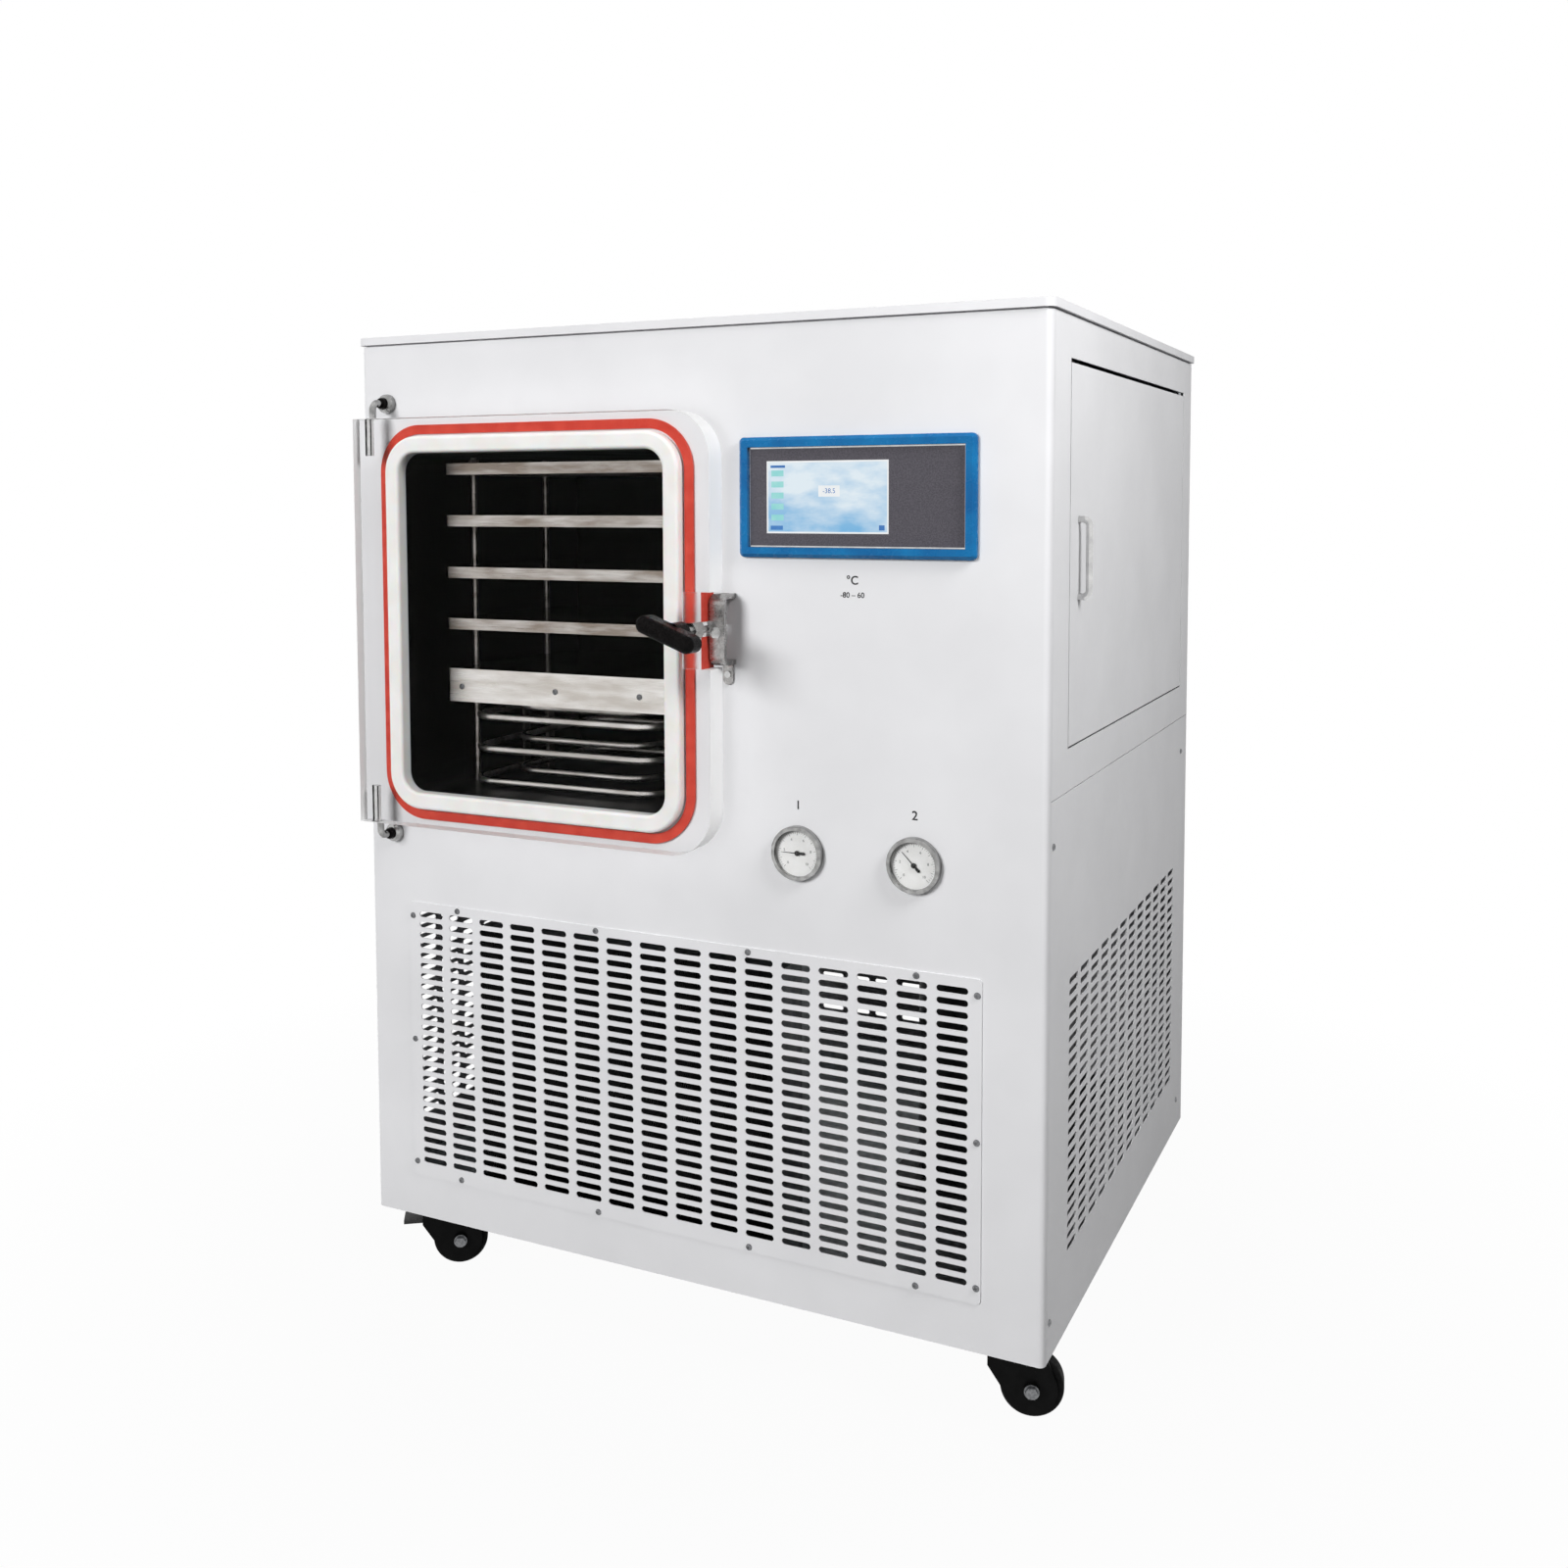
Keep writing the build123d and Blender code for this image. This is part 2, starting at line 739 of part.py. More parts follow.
# ---------------------------------------------------------------- clear door and hinge
bush_r = rod_r + running_fit + bush_wall
with BuildPart() as door_panel:
    with BuildSketch(front(door_gap)) as door_outline:
        with Locations(((door_x0 + door_x1) / 2, (door_z0 + door_z1) / 2)):
            Rectangle(door_x1 - door_x0, door_z1 - door_z0)
        fillet(door_outline.vertices().group_by(Axis.X)[-1], door_corner)
        with Locations((door_x1, spindle_z - notch_drop)):
            Rectangle(2 * notch_width, notch_height, mode=Mode.SUBTRACT)
    extrude(amount=door_t)
    chamfer(
        door_panel.edges().filter_by(Axis.Z).group_by(Axis.X)[0].sort_by(Axis.Y)[-1], door_heel
    )
    with BuildSketch(front(door_gap + door_t)):
        with Locations((door_x1 - notch_width - pocket_width / 2, spindle_z - notch_drop)):
            Rectangle(pocket_width, notch_height)
    extrude(amount=-pocket_depth, mode=Mode.SUBTRACT)
    with BuildSketch(front(door_gap)):
        with Locations((spindle_x, spindle_z)):
            Circle(spindle_bush_r + head_seat)
    extrude(amount=door_t, mode=Mode.SUBTRACT)
    for edge_z, direction in ((door_z1, -1), (door_z0, 1)):
        with BuildSketch(Plane.XY.offset(edge_z)):
            with Locations((hinge_x, front_y - hinge_reach)):
                Circle(bush_r + head_seat)
        extrude(amount=(rod_depth + rod_end_gap) * direction, mode=Mode.SUBTRACT)
save(door_panel, "door_panel")

with BuildPart() as door_bushes:
    for edge_z, direction in ((door_z1, -1), (door_z0, 1)):
        with BuildSketch(Plane.XY.offset(edge_z)):
            with Locations((hinge_x, front_y - hinge_reach)):
                Circle(bush_r)
                Circle(rod_r + running_fit, mode=Mode.SUBTRACT)
        extrude(amount=(rod_depth + rod_end_gap) * direction)
        with BuildSketch(Plane.XY.offset(edge_z)):
            with Locations((hinge_x, front_y - hinge_reach)):
                Circle(bush_r + bush_rim)
                Circle(rod_r + running_fit, mode=Mode.SUBTRACT)
        extrude(amount=-bush_rim * direction)
    with BuildSketch(front(door_gap + spindle_bush_back)):
        with Locations((spindle_x, spindle_z)):
            Circle(spindle_bush_r)
            Circle(spindle_r + running_fit, mode=Mode.SUBTRACT)
    extrude(amount=door_t)
    with BuildSketch(front(door_gap + door_t - pocket_depth)):
        with Locations((spindle_x, spindle_z)):
            RegularPolygon(hex_across / 2, 6, major_radius=False)
            Circle(spindle_r + running_fit, mode=Mode.SUBTRACT)
    extrude(amount=hex_length)
save(door_bushes, "door_bushes")

with BuildPart() as hinge_rods:
    for edge_z, direction in ((door_z1, 1), (door_z0, -1)):
        rod_z = edge_z + rod_rise * direction
        with BuildLine(side(hinge_x)) as rod_path:
            FilletPolyline(
                (front_y, rod_z),
                (front_y - hinge_reach, rod_z),
                (front_y - hinge_reach, edge_z - rod_depth * direction),
                radius=rod_bend,
            )
        with BuildSketch(Plane(origin=(hinge_x, front_y, rod_z), z_dir=(0, -1, 0))):
            Circle(rod_r)
        sweep(path=rod_path.wires()[0])
        with BuildSketch(front()):
            with Locations((hinge_x, rod_z)):
                Circle(rod_flange_r)
        extrude(amount=rod_flange_t)
save(hinge_rods, "hinge_rods")

# ---------------------------------------------------------------- latch
keeper_z0 = spindle_z - notch_drop - keeper_half
keeper_z1 = spindle_z - notch_drop + keeper_half
strike_x = keeper_x0 + keeper_width / 2
strike_z = spindle_z - strike_drop
with BuildPart() as latch_keeper:
    with BuildSketch(side(keeper_x0)) as keeper_profile:
        with Locations((front_y - keeper_reach / 2, (keeper_z0 + keeper_z1) / 2)):
            Rectangle(keeper_reach, keeper_z1 - keeper_z0)
        fillet(keeper_profile.vertices().group_by(Axis.X)[0], keeper_bend)
        with Locations((front_y - (keeper_reach - keeper_strap) / 2, (keeper_z0 + keeper_z1) / 2)):
            Rectangle(
                keeper_reach - keeper_strap,
                keeper_z1 - keeper_z0 - 2 * keeper_strap,
                mode=Mode.SUBTRACT,
            )
    extrude(amount=keeper_width)
    with BuildSketch(front()):
        with Locations((strike_x, keeper_z0 + (keeper_strap - keeper_foot) / 2)):
            SlotOverall(keeper_foot + keeper_strap, keeper_foot_width, rotation=90)
    extrude(amount=keeper_foot_t)
    with BuildSketch(Plane.XY.offset(keeper_z1)):
        with Locations((strike_x, front_y - keeper_slot_out)):
            Rectangle(keeper_slot, keeper_strap)
    extrude(amount=-keeper_strap, mode=Mode.SUBTRACT)
    with BuildSketch(front(keeper_reach)):
        with Locations((strike_x, strike_z)):
            Circle(strike_r + head_seat)
    extrude(amount=-keeper_strap, mode=Mode.SUBTRACT)
    with BuildSketch(front()):
        with Locations((strike_x, keeper_z0 - keeper_foot / 2)):
            Circle(screw_hole_r)
    extrude(amount=keeper_foot_t, mode=Mode.SUBTRACT)
save(latch_keeper, "latch_keeper")

with BuildPart() as keeper_screws:
    with BuildSketch(front(keeper_reach + head_seat)):
        with Locations((strike_x, strike_z)):
            RegularPolygon(strike_head / 2, 6, major_radius=False)
    extrude(amount=strike_head_t)
    with BuildSketch(front(keeper_reach + head_seat)):
        with Locations((strike_x, strike_z)):
            Circle(strike_r)
    extrude(amount=-(keeper_reach + head_seat - dog_start - dog_t - strike_gap))
    for radius, length in ((screw_head_r, screw_head_t), (screw_shank_r, -keeper_foot_t)):
        with BuildSketch(front(keeper_foot_t + head_seat)):
            with Locations((strike_x, keeper_z0 - keeper_foot / 2)):
                Circle(radius)
        extrude(amount=length)
save(keeper_screws, "keeper_screws")

with BuildPart() as handle_spindle:
    with BuildSketch(front(dog_start)):
        with Locations((spindle_x, spindle_z)):
            Circle(spindle_r)
    extrude(amount=hub_start + hub_socket - dog_start)
save(handle_spindle, "handle_spindle")

with BuildPart() as t_handle:
    with BuildSketch(front(hub_start)):
        with Locations((spindle_x, spindle_z)):
            Circle(hub_r)
    extrude(amount=bar_start - hub_start + hub_lap)
    with BuildSketch(front(bar_start)):
        with Locations((spindle_x, spindle_z)):
            SlotOverall(bar_length, bar_height, rotation=bar_tilt)
    extrude(amount=bar_end - bar_start)
    fillet(t_handle.faces().sort_by(Axis.Y)[0].edges(), bar_round)
    with BuildSketch(front(hub_start)):
        with Locations((spindle_x, spindle_z)):
            Circle(spindle_r + head_seat)
    extrude(amount=hub_socket + head_seat, mode=Mode.SUBTRACT)
save(t_handle, "t_handle")

with BuildPart() as latch_dog:
    with BuildSketch(front(dog_start)):
        with Locations((spindle_x, spindle_z)):
            Circle(dog_hub_r)
        with Locations((spindle_x, spindle_z + dog_reach / 2)):
            Rectangle(dog_width, dog_reach)
        with Locations((spindle_x, spindle_z)):
            Circle(spindle_r + head_seat, mode=Mode.SUBTRACT)
    extrude(amount=dog_t)
save(latch_dog, "latch_dog")

# ---------------------------------------------------------------- shelves and cold trap
shelf_mid_y = front_y + shelf_front + shelf_depth / 2
rod_spread = (shelf_width - 2 * shelf_rod_inset_x, shelf_depth - 2 * shelf_rod_inset_y)
for number in range(shelf_count):
    shelf_z = ground_gap + top_shelf_h - number * shelf_pitch
    with BuildPart() as shelf:
        with BuildSketch(Plane.XY.offset(shelf_z - shelf_t / 2)):
            with Locations((chamber_x, shelf_mid_y)):
                RectangleRounded(shelf_width, shelf_depth, shelf_corner)
                with GridLocations(*rod_spread, 2, 2):
                    Circle(shelf_rod_r + head_seat, mode=Mode.SUBTRACT)
        extrude(amount=shelf_t)
    save(shelf, f"shelf_{number + 1}")

with BuildPart() as shelf_base:
    with BuildSketch(Plane.XY.offset(ground_gap + base_bottom_h)):
        with Locations((chamber_x, shelf_mid_y)):
            RectangleRounded(shelf_width, shelf_depth, shelf_corner)
            with GridLocations(*rod_spread, 2, 2):
                Circle(shelf_rod_r + head_seat, mode=Mode.SUBTRACT)
    extrude(amount=base_t)
save(shelf_base, "shelf_base")

shelf_top_z = ground_gap + top_shelf_h + shelf_t / 2
with BuildPart() as shelf_rods:
    with BuildSketch(Plane.XY.offset(chamber_floor_z)):
        with Locations((chamber_x, shelf_mid_y)):
            with GridLocations(*rod_spread, 2, 2):
                Circle(shelf_rod_r)
    extrude(amount=shelf_top_z + nut_t + stud_end - chamber_floor_z)
    with BuildSketch(Plane.XY.offset(shelf_top_z + head_seat)):
        with Locations((chamber_x, shelf_mid_y)):
            with GridLocations(*rod_spread, 2, 2):
                RegularPolygon(nut_across / 2, 6, major_radius=False)
    extrude(amount=nut_t)
save(shelf_rods, "shelf_rods")

coil_mid_y = front_y + coil_front + coil_outer[1] / 2
with BuildPart() as condenser_coil:
    for level in coil_levels:
        for step, rise in ((0, 0), (coil_step, coil_stagger)):
            dx, dy = coil_outer[0] / 2 - step, coil_outer[1] / 2 - step
            loop_z = ground_gap + level + rise
            with BuildLine(Plane.XY.offset(loop_z)) as loop:
                FilletPolyline(
                    (chamber_x - dx, coil_mid_y - dy),
                    (chamber_x + dx, coil_mid_y - dy),
                    (chamber_x + dx, coil_mid_y + dy),
                    (chamber_x - dx, coil_mid_y + dy),
                    radius=coil_corner,
                    close=True,
                )
            with BuildSketch(Plane(origin=loop.line @ 0, z_dir=loop.line % 0)):
                Circle(coil_tube_r)
            sweep(path=loop.wires()[0])
save(condenser_coil, "condenser_coil")

bracket_top_z = ground_gap + coil_levels[-1] + coil_stagger + coil_tube_r
with BuildPart() as coil_brackets:
    for loop_side in (-1, 1):
        for step in (0, coil_step):
            post_x = chamber_x + loop_side * (coil_outer[0] / 2 - step + coil_tube_r + bracket_t / 2)
            with BuildSketch(Plane.XY.offset(chamber_floor_z)):
                with Locations((post_x, coil_mid_y)):
                    Rectangle(bracket_t, bracket_w)
            extrude(amount=bracket_top_z - chamber_floor_z)
save(coil_brackets, "coil_brackets")

# ---------------------------------------------------------------- touch screen
hmi_bezel_size = [across - 2 * (hmi_border + hmi_bezel_fit) for across in hmi_frame_size]
with BuildPart() as hmi_frame:
    with BuildSketch(front()):
        with Locations((hmi_x, hmi_z)):
            RectangleRounded(*hmi_frame_size, hmi_corner)
    extrude(amount=hmi_frame_t)
    chamfer(hmi_frame.faces().sort_by(Axis.Y)[0].edges(), hmi_chamfer)
    with BuildSketch(front()):
        with Locations((hmi_x, hmi_z)):
            Rectangle(hmi_frame_size[0] - 2 * hmi_border, hmi_frame_size[1] - 2 * hmi_border)
    extrude(amount=hmi_frame_t, mode=Mode.SUBTRACT)
save(hmi_frame, "hmi_frame")

with BuildPart() as hmi_bezel:
    with BuildSketch(front()):
        with Locations((hmi_x, hmi_z)):
            Rectangle(*hmi_bezel_size)
    extrude(amount=hmi_bezel_t)
    with BuildSketch(front()):
        with Locations((hmi_x, hmi_z)):
            Rectangle(hmi_box[0], hmi_box[1])
    extrude(amount=-hmi_box[2])
    with BuildSketch(front(hmi_bezel_t)):
        with Locations((hmi_x + screen_shift, hmi_z)):
            Rectangle(screen_size[0] + 2 * head_seat, screen_size[1] + 2 * head_seat)
    extrude(amount=-screen_recess, mode=Mode.SUBTRACT)
save(hmi_bezel, "hmi_bezel")

with BuildPart() as hmi_screen:
    with BuildSketch(front(hmi_bezel_t - screen_recess)):
        with Locations((hmi_x + screen_shift, hmi_z)):
            Rectangle(*screen_size)
    extrude(amount=screen_t)
save(hmi_screen, "hmi_screen")

# ---------------------------------------------------------------- dial gauges
gauge_points = [(x, gauge_z) for x in gauge_xs.values()]
glass_back = gauge_bezel_t - glass_inset - glass_t
with BuildPart() as gauge_cases:
    for start, radius, length in (
        (0, gauge_bezel_r, gauge_bezel_t),
        (0, gauge_case_r, -gauge_case_depth),
    ):
        with BuildSketch(front(start)):
            with Locations(gauge_points):
                Circle(radius)
        extrude(amount=length)
    fillet(gauge_cases.faces().sort_by(Axis.Y)[:2].edges(), gauge_round)
    with BuildSketch(front(gauge_dial_back)):
        with Locations(gauge_points):
            Circle(gauge_dial_r)
    extrude(amount=gauge_bezel_t, mode=Mode.SUBTRACT)
    with BuildSketch(front(gauge_dial_back)):
        with Locations(gauge_points):
            Circle(needle_shaft_r + running_fit)
    extrude(amount=-needle_hole, mode=Mode.SUBTRACT)
save(gauge_cases, "gauge_cases")

with BuildPart() as gauge_dials:
    with BuildSketch(front(gauge_dial_back)):
        with Locations(gauge_points):
            Circle(gauge_dial_r - head_seat)
            Circle(needle_shaft_r + running_fit, mode=Mode.SUBTRACT)
    extrude(amount=gauge_dial_t)
save(gauge_dials, "gauge_dials")

with BuildPart() as gauge_glasses:
    with BuildSketch(front(glass_back)):
        with Locations(gauge_points):
            Circle(gauge_dial_r - head_seat)
    extrude(amount=glass_t)
save(gauge_glasses, "gauge_glasses")

for name, needle_x in gauge_xs.items():
    angle = radians(needle_angles[name])
    pointer_mid = (needle_reach - needle_tail) / 2
    with BuildPart() as needle:
        with BuildSketch(front(needle_back)):
            with Locations((needle_x, gauge_z)):
                Circle(needle_hub_r)
            with Locations(
                (needle_x + pointer_mid * cos(angle), gauge_z + pointer_mid * sin(angle))
            ):
                Rectangle(needle_reach + needle_tail, needle_width, rotation=needle_angles[name])
        extrude(amount=needle_t)
        with BuildSketch(front(needle_back)):
            with Locations((needle_x, gauge_z)):
                Circle(needle_shaft_r)
        extrude(amount=-needle_shaft)
    save(needle, f"gauge_needle_{name}")

# ---------------------------------------------------------------- machinery
with BuildPart() as condenser_block:
    with BuildSketch(front(-condenser_back)):
        with Locations((condenser_x, fan_z)):
            Rectangle(condenser_size[0], condenser_size[2])
    extrude(amount=-condenser_size[1])
    with BuildSketch(front(-condenser_back)):
        with Locations((condenser_x, fan_z)):
            with GridLocations(condenser_size[0] / (condenser_grooves + 1), 0, condenser_grooves, 1):
                Rectangle(condenser_groove, condenser_size[2] - 2 * condenser_margin)
    extrude(amount=-condenser_groove_depth, mode=Mode.SUBTRACT)
save(condenser_block, "condenser_block")

with BuildPart() as fan_shroud:
    with BuildSketch(front(-condenser_back - condenser_size[1])):
        with Locations((condenser_x, fan_z)):
            Rectangle(condenser_size[0], condenser_size[2])
    extrude(amount=-shroud_depth)
    offset(amount=-fan_sheet, openings=fan_shroud.faces().sort_by(Axis.Y)[0])
    with BuildSketch(front(-shroud_back)):
        with Locations((condenser_x, fan_z)):
            Circle(fan_hole_r)
            Rectangle(2 * fan_hole_r, motor_arm, mode=Mode.SUBTRACT)
            Rectangle(motor_arm, 2 * fan_hole_r, mode=Mode.SUBTRACT)
    extrude(amount=fan_sheet, mode=Mode.SUBTRACT)
    with BuildSketch(front(-shroud_back + fan_sheet)):
        with Locations((condenser_x, fan_z)):
            Circle(motor_r)
    extrude(amount=-motor_t)
    with BuildSketch(front(-shroud_back + fan_sheet)):
        with Locations((condenser_x, fan_z)):
            Circle(fan_shaft_r + running_fit)
    extrude(amount=-motor_bore, mode=Mode.SUBTRACT)
save(fan_shroud, "fan_shroud")

fan_mid = shroud_back - shroud_depth / 2
with BuildPart() as fan_rotor:
    with BuildSketch(front(-fan_mid - fan_hub_t / 2)):
        with Locations((condenser_x, fan_z)):
            Circle(fan_hub_r)
    extrude(amount=fan_hub_t)
    with Locations(front(-fan_mid)):
        with Locations((condenser_x, fan_z)):
            with PolarLocations((fan_r + fan_hub_r - fan_root) / 2, fan_blades):
                Box(
                    fan_r - fan_hub_r + fan_root, fan_chord, fan_blade_t, rotation=(fan_pitch, 0, 0)
                )
    with BuildSketch(front(-fan_mid)):
        with Locations((condenser_x, fan_z)):
            Circle(fan_shaft_r)
    extrude(amount=fan_sheet - shroud_depth / 2 - motor_shaft)
save(fan_rotor, "fan_rotor")

with BuildPart() as compressor:
    with BuildSketch(Plane.XY.offset(pan_top_z)):
        with Locations((compressor_x, front_y + compressor_back)):
            RectangleRounded(compressor_foot, compressor_foot, compressor_foot_corner)
    extrude(amount=compressor_foot_t)
    with BuildSketch(Plane.XY.offset(pan_top_z)):
        with Locations((compressor_x, front_y + compressor_back)):
            Circle(compressor_r)
    extrude(amount=compressor_height)
    fillet(compressor.faces().sort_by(Axis.Z)[-1].edges(), compressor_dome)
    with BuildSketch(Plane.XY.offset(pan_top_z)):
        with Locations((compressor_x, front_y + compressor_back)):
            Circle(compressor_r - compressor_wall)
    extrude(amount=compressor_height - compressor_dome, mode=Mode.SUBTRACT)
save(compressor, "compressor")

with BuildPart() as electrical_box:
    with BuildSketch(Plane.XY.offset(deck_top_z)):
        with Locations((box_x, front_y + box_back)):
            RectangleRounded(box_size[0], box_size[1], box_corner)
    extrude(amount=box_size[2])
    offset(amount=-box_sheet, openings=electrical_box.faces().sort_by(Axis.Z)[0])
save(electrical_box, "electrical_box")

with BuildPart() as vacuum_port:
    port_start = front_y + flange_back + chamber_depth + head_seat
    with BuildSketch(Plane(origin=(chamber_x, port_start, port_z), z_dir=(0, 1, 0))):
        Circle(port_r)
    extrude(amount=rear_y + port_reach - port_start)
    with BuildSketch(Plane(origin=(chamber_x, rear_y + port_reach, port_z), z_dir=(0, 1, 0))):
        Circle(port_flange_r)
    extrude(amount=-port_flange_t)
    with BuildSketch(Plane(origin=(chamber_x, port_start, port_z), z_dir=(0, 1, 0))):
        Circle(port_bore_r)
    extrude(amount=cabinet_depth, mode=Mode.SUBTRACT)
save(vacuum_port, "vacuum_port")

# ---------------------------------------------------------------- casters
plate_z = ground_gap - caster_plate[2]
race_z = fork_top_z + race_gap
leg_inner = wheel_width / 2 + fork_leg_gap
leg_outer = leg_inner + fork_leg_t
with BuildPart() as caster_plates:
    with BuildSketch(Plane.XY.offset(plate_z)):
        with Locations(list(caster_places.values())):
            Rectangle(caster_plate[0], caster_plate[1])
    extrude(amount=caster_plate[2])
    with BuildSketch(Plane.XY.offset(race_z)):
        with Locations(list(caster_places.values())):
            Circle(race_r)
    extrude(amount=plate_z - race_z)
    with BuildSketch(Plane.XY.offset(race_z)):
        with Locations(list(caster_places.values())):
            Circle(kingpin_r + running_fit)
    extrude(amount=plate_z - race_z, mode=Mode.SUBTRACT)
save(caster_plates, "caster_plates")

for name in caster_places:
    wheel_plane = caster_plane(name)
    fork_front = -race_r - fork_lip
    fork_rear = caster_trail + fork_tail
    fork_mid = (fork_front + fork_rear) / 2
    with BuildPart() as caster_fork:
        with BuildSketch(wheel_plane.offset(-leg_outer), wheel_plane.offset(leg_inner)):
            with Locations((caster_trail, wheel_r)):
                Circle(fork_cover_r)
            with Locations((fork_mid, fork_top_z - fork_side / 2)):
                Rectangle(fork_rear - fork_front, fork_side)
            make_hull()
            with Locations((caster_trail, wheel_r)):
                Circle(axle_r + head_seat, mode=Mode.SUBTRACT)
        extrude(amount=fork_leg_t)
        with BuildSketch(wheel_plane.offset(-leg_inner)):
            with Locations((fork_mid, fork_top_z - fork_top_t / 2)):
                Rectangle(fork_rear - fork_front, fork_top_t)
        extrude(amount=2 * leg_inner)
        with BuildSketch(Plane.XY.offset(fork_top_z)):
            with Locations(caster_places[name]):
                Circle(kingpin_r)
        extrude(amount=plate_z - fork_top_z - race_gap)
        if name in braked_casters:
            with BuildSketch(wheel_plane.offset(-leg_inner)):
                with Locations((pedal_pin_u, pedal_pin_z)):
                    Circle(pedal_pin_r)
            extrude(amount=2 * leg_inner)
        with BuildSketch(wheel_plane.offset(-leg_outer - head_seat)):
            with Locations((caster_trail, wheel_r)):
                Circle(axle_r)
        extrude(amount=2 * (leg_outer + head_seat))
        with BuildSketch(wheel_plane.offset(-leg_outer - head_seat - axle_head_t)):
            with Locations((caster_trail, wheel_r)):
                RegularPolygon(axle_head / 2, 6, major_radius=False)
        extrude(amount=axle_head_t)
        with BuildSketch(wheel_plane.offset(leg_outer + head_seat)):
            with Locations((caster_trail, wheel_r)):
                RegularPolygon(axle_head / 2, 6, major_radius=False)
        extrude(amount=axle_head_t)
    save(caster_fork, f"caster_fork_{name}")

    with BuildPart() as caster_wheel:
        with BuildSketch(wheel_plane.offset(-wheel_width / 2)):
            with Locations((caster_trail, wheel_r)):
                Circle(wheel_r)
        extrude(amount=wheel_width)
        fillet(caster_wheel.edges().filter_by(GeomType.CIRCLE), wheel_fillet)
        with BuildSketch(wheel_plane.offset(-wheel_width / 2)):
            with Locations((caster_trail, wheel_r)):
                Circle(axle_r + running_fit)
        extrude(amount=wheel_width, mode=Mode.SUBTRACT)
    save(caster_wheel, f"caster_wheel_{name}")

    if name in braked_casters:
        with BuildPart() as brake_pedal:
            with BuildSketch(wheel_plane.offset(pedal_side_gap - leg_inner)):
                with Locations((pedal_pin_u, pedal_pin_z)):
                    Circle(pedal_barrel_r)
                with Locations((pedal_pin_u - pedal_reach / 2, pedal_pin_z - pedal_drop)):
                    Rectangle(pedal_reach, pedal_t)
                with Locations((pedal_pin_u, pedal_pin_z)):
                    Circle(pedal_pin_r + running_fit, mode=Mode.SUBTRACT)
            extrude(amount=2 * (leg_inner - pedal_side_gap))
        save(brake_pedal, f"brake_pedal_{name}")
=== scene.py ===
# %% [markdown]
# # A laboratory freeze dryer
# A freeze dryer takes the water out of frozen goods under vacuum. This one is a sheet-metal cabinet
# on casters, with a shelved chamber behind a clear door, a touch screen and two dial gauges.
# The CAD model gives every place and every moving body, so this script only adds finishes,
# small pieces that CAD left plain, a floor, soft light and a camera.

# %% Load the CAD frame
import json
import math

import bmesh
import bpy
from mathutils import Matrix, Vector


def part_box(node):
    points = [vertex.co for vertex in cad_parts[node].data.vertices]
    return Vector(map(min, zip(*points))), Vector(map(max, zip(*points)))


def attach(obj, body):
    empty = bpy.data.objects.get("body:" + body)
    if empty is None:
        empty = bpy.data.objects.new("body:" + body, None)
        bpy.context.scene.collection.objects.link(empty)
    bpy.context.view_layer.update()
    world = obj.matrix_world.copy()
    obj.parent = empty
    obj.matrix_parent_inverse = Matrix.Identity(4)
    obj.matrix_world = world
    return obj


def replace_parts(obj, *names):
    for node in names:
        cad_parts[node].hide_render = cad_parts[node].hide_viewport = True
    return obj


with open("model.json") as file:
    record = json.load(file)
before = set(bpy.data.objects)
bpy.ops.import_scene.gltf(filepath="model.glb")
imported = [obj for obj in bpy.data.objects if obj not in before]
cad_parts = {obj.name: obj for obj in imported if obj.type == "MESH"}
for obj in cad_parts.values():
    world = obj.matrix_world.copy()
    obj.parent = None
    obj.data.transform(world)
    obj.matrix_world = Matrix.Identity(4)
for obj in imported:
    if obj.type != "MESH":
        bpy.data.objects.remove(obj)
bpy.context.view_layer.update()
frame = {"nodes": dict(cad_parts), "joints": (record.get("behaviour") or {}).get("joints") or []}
nodes = frame["nodes"]

# %% [markdown]
# ## Sizes that the finishes share
# All places come from the boxes of the CAD nodes, in metres. The cabinet stands on the floor, its
# front faces -Y and +X is on the user's right. One helper turns millimetres into metres.

# %% Shared places
def mm(length):
    """Millimetres as metres."""
    return length / 1000


def box_middle(node):
    """Middle of a CAD node's box."""
    low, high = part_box(node)
    return (Vector(low) + Vector(high)) / 2


panel_low, panel_high = (Vector(corner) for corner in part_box("front_panel"))
front = panel_low.y
print("front panel from", panel_low, "to", panel_high)

# %% [markdown]
# ## Camera
# The camera stands to the right of the cabinet at chest height and looks left, nearly level, so that
# upright edges stay upright. A small vertical shift of the lens does what a tilt would, without
# making the sides lean together. The axes are built by hand from yaw, pitch and roll.

# %% Camera
yaw, pitch, roll = math.radians(25.542), math.radians(3.725), math.radians(-0.155)
ahead = Vector((-math.sin(yaw) * math.cos(pitch), math.cos(yaw) * math.cos(pitch), -math.sin(pitch)))
level = Vector((math.cos(yaw), math.sin(yaw), 0))
above = level.cross(ahead)
right = level * math.cos(roll) + above * math.sin(roll)
up = above * math.cos(roll) - level * math.sin(roll)
stand = Matrix.Translation((0.9343, -1.9854, 1.0780))
camera = bpy.data.objects.new("camera", bpy.data.cameras.new("camera"))
camera.matrix_world = stand @ Matrix((right, up, -ahead)).transposed().to_4x4()
camera.data.lens = 35.1
camera.data.shift_y = -0.1175
camera.data.clip_start, camera.data.clip_end = 0.05, 60
bpy.context.collection.objects.link(camera)
bpy.context.scene.camera = camera
print("camera looks along", ahead)

# %% [markdown]
# ## Node helpers
# A material is a tree of nodes. One small function adds any node, sets its values and links the
# sockets it is given. Colours are written as the sRGB hex codes a paint chart has, and one function
# turns them to the linear values that the renderer works in.

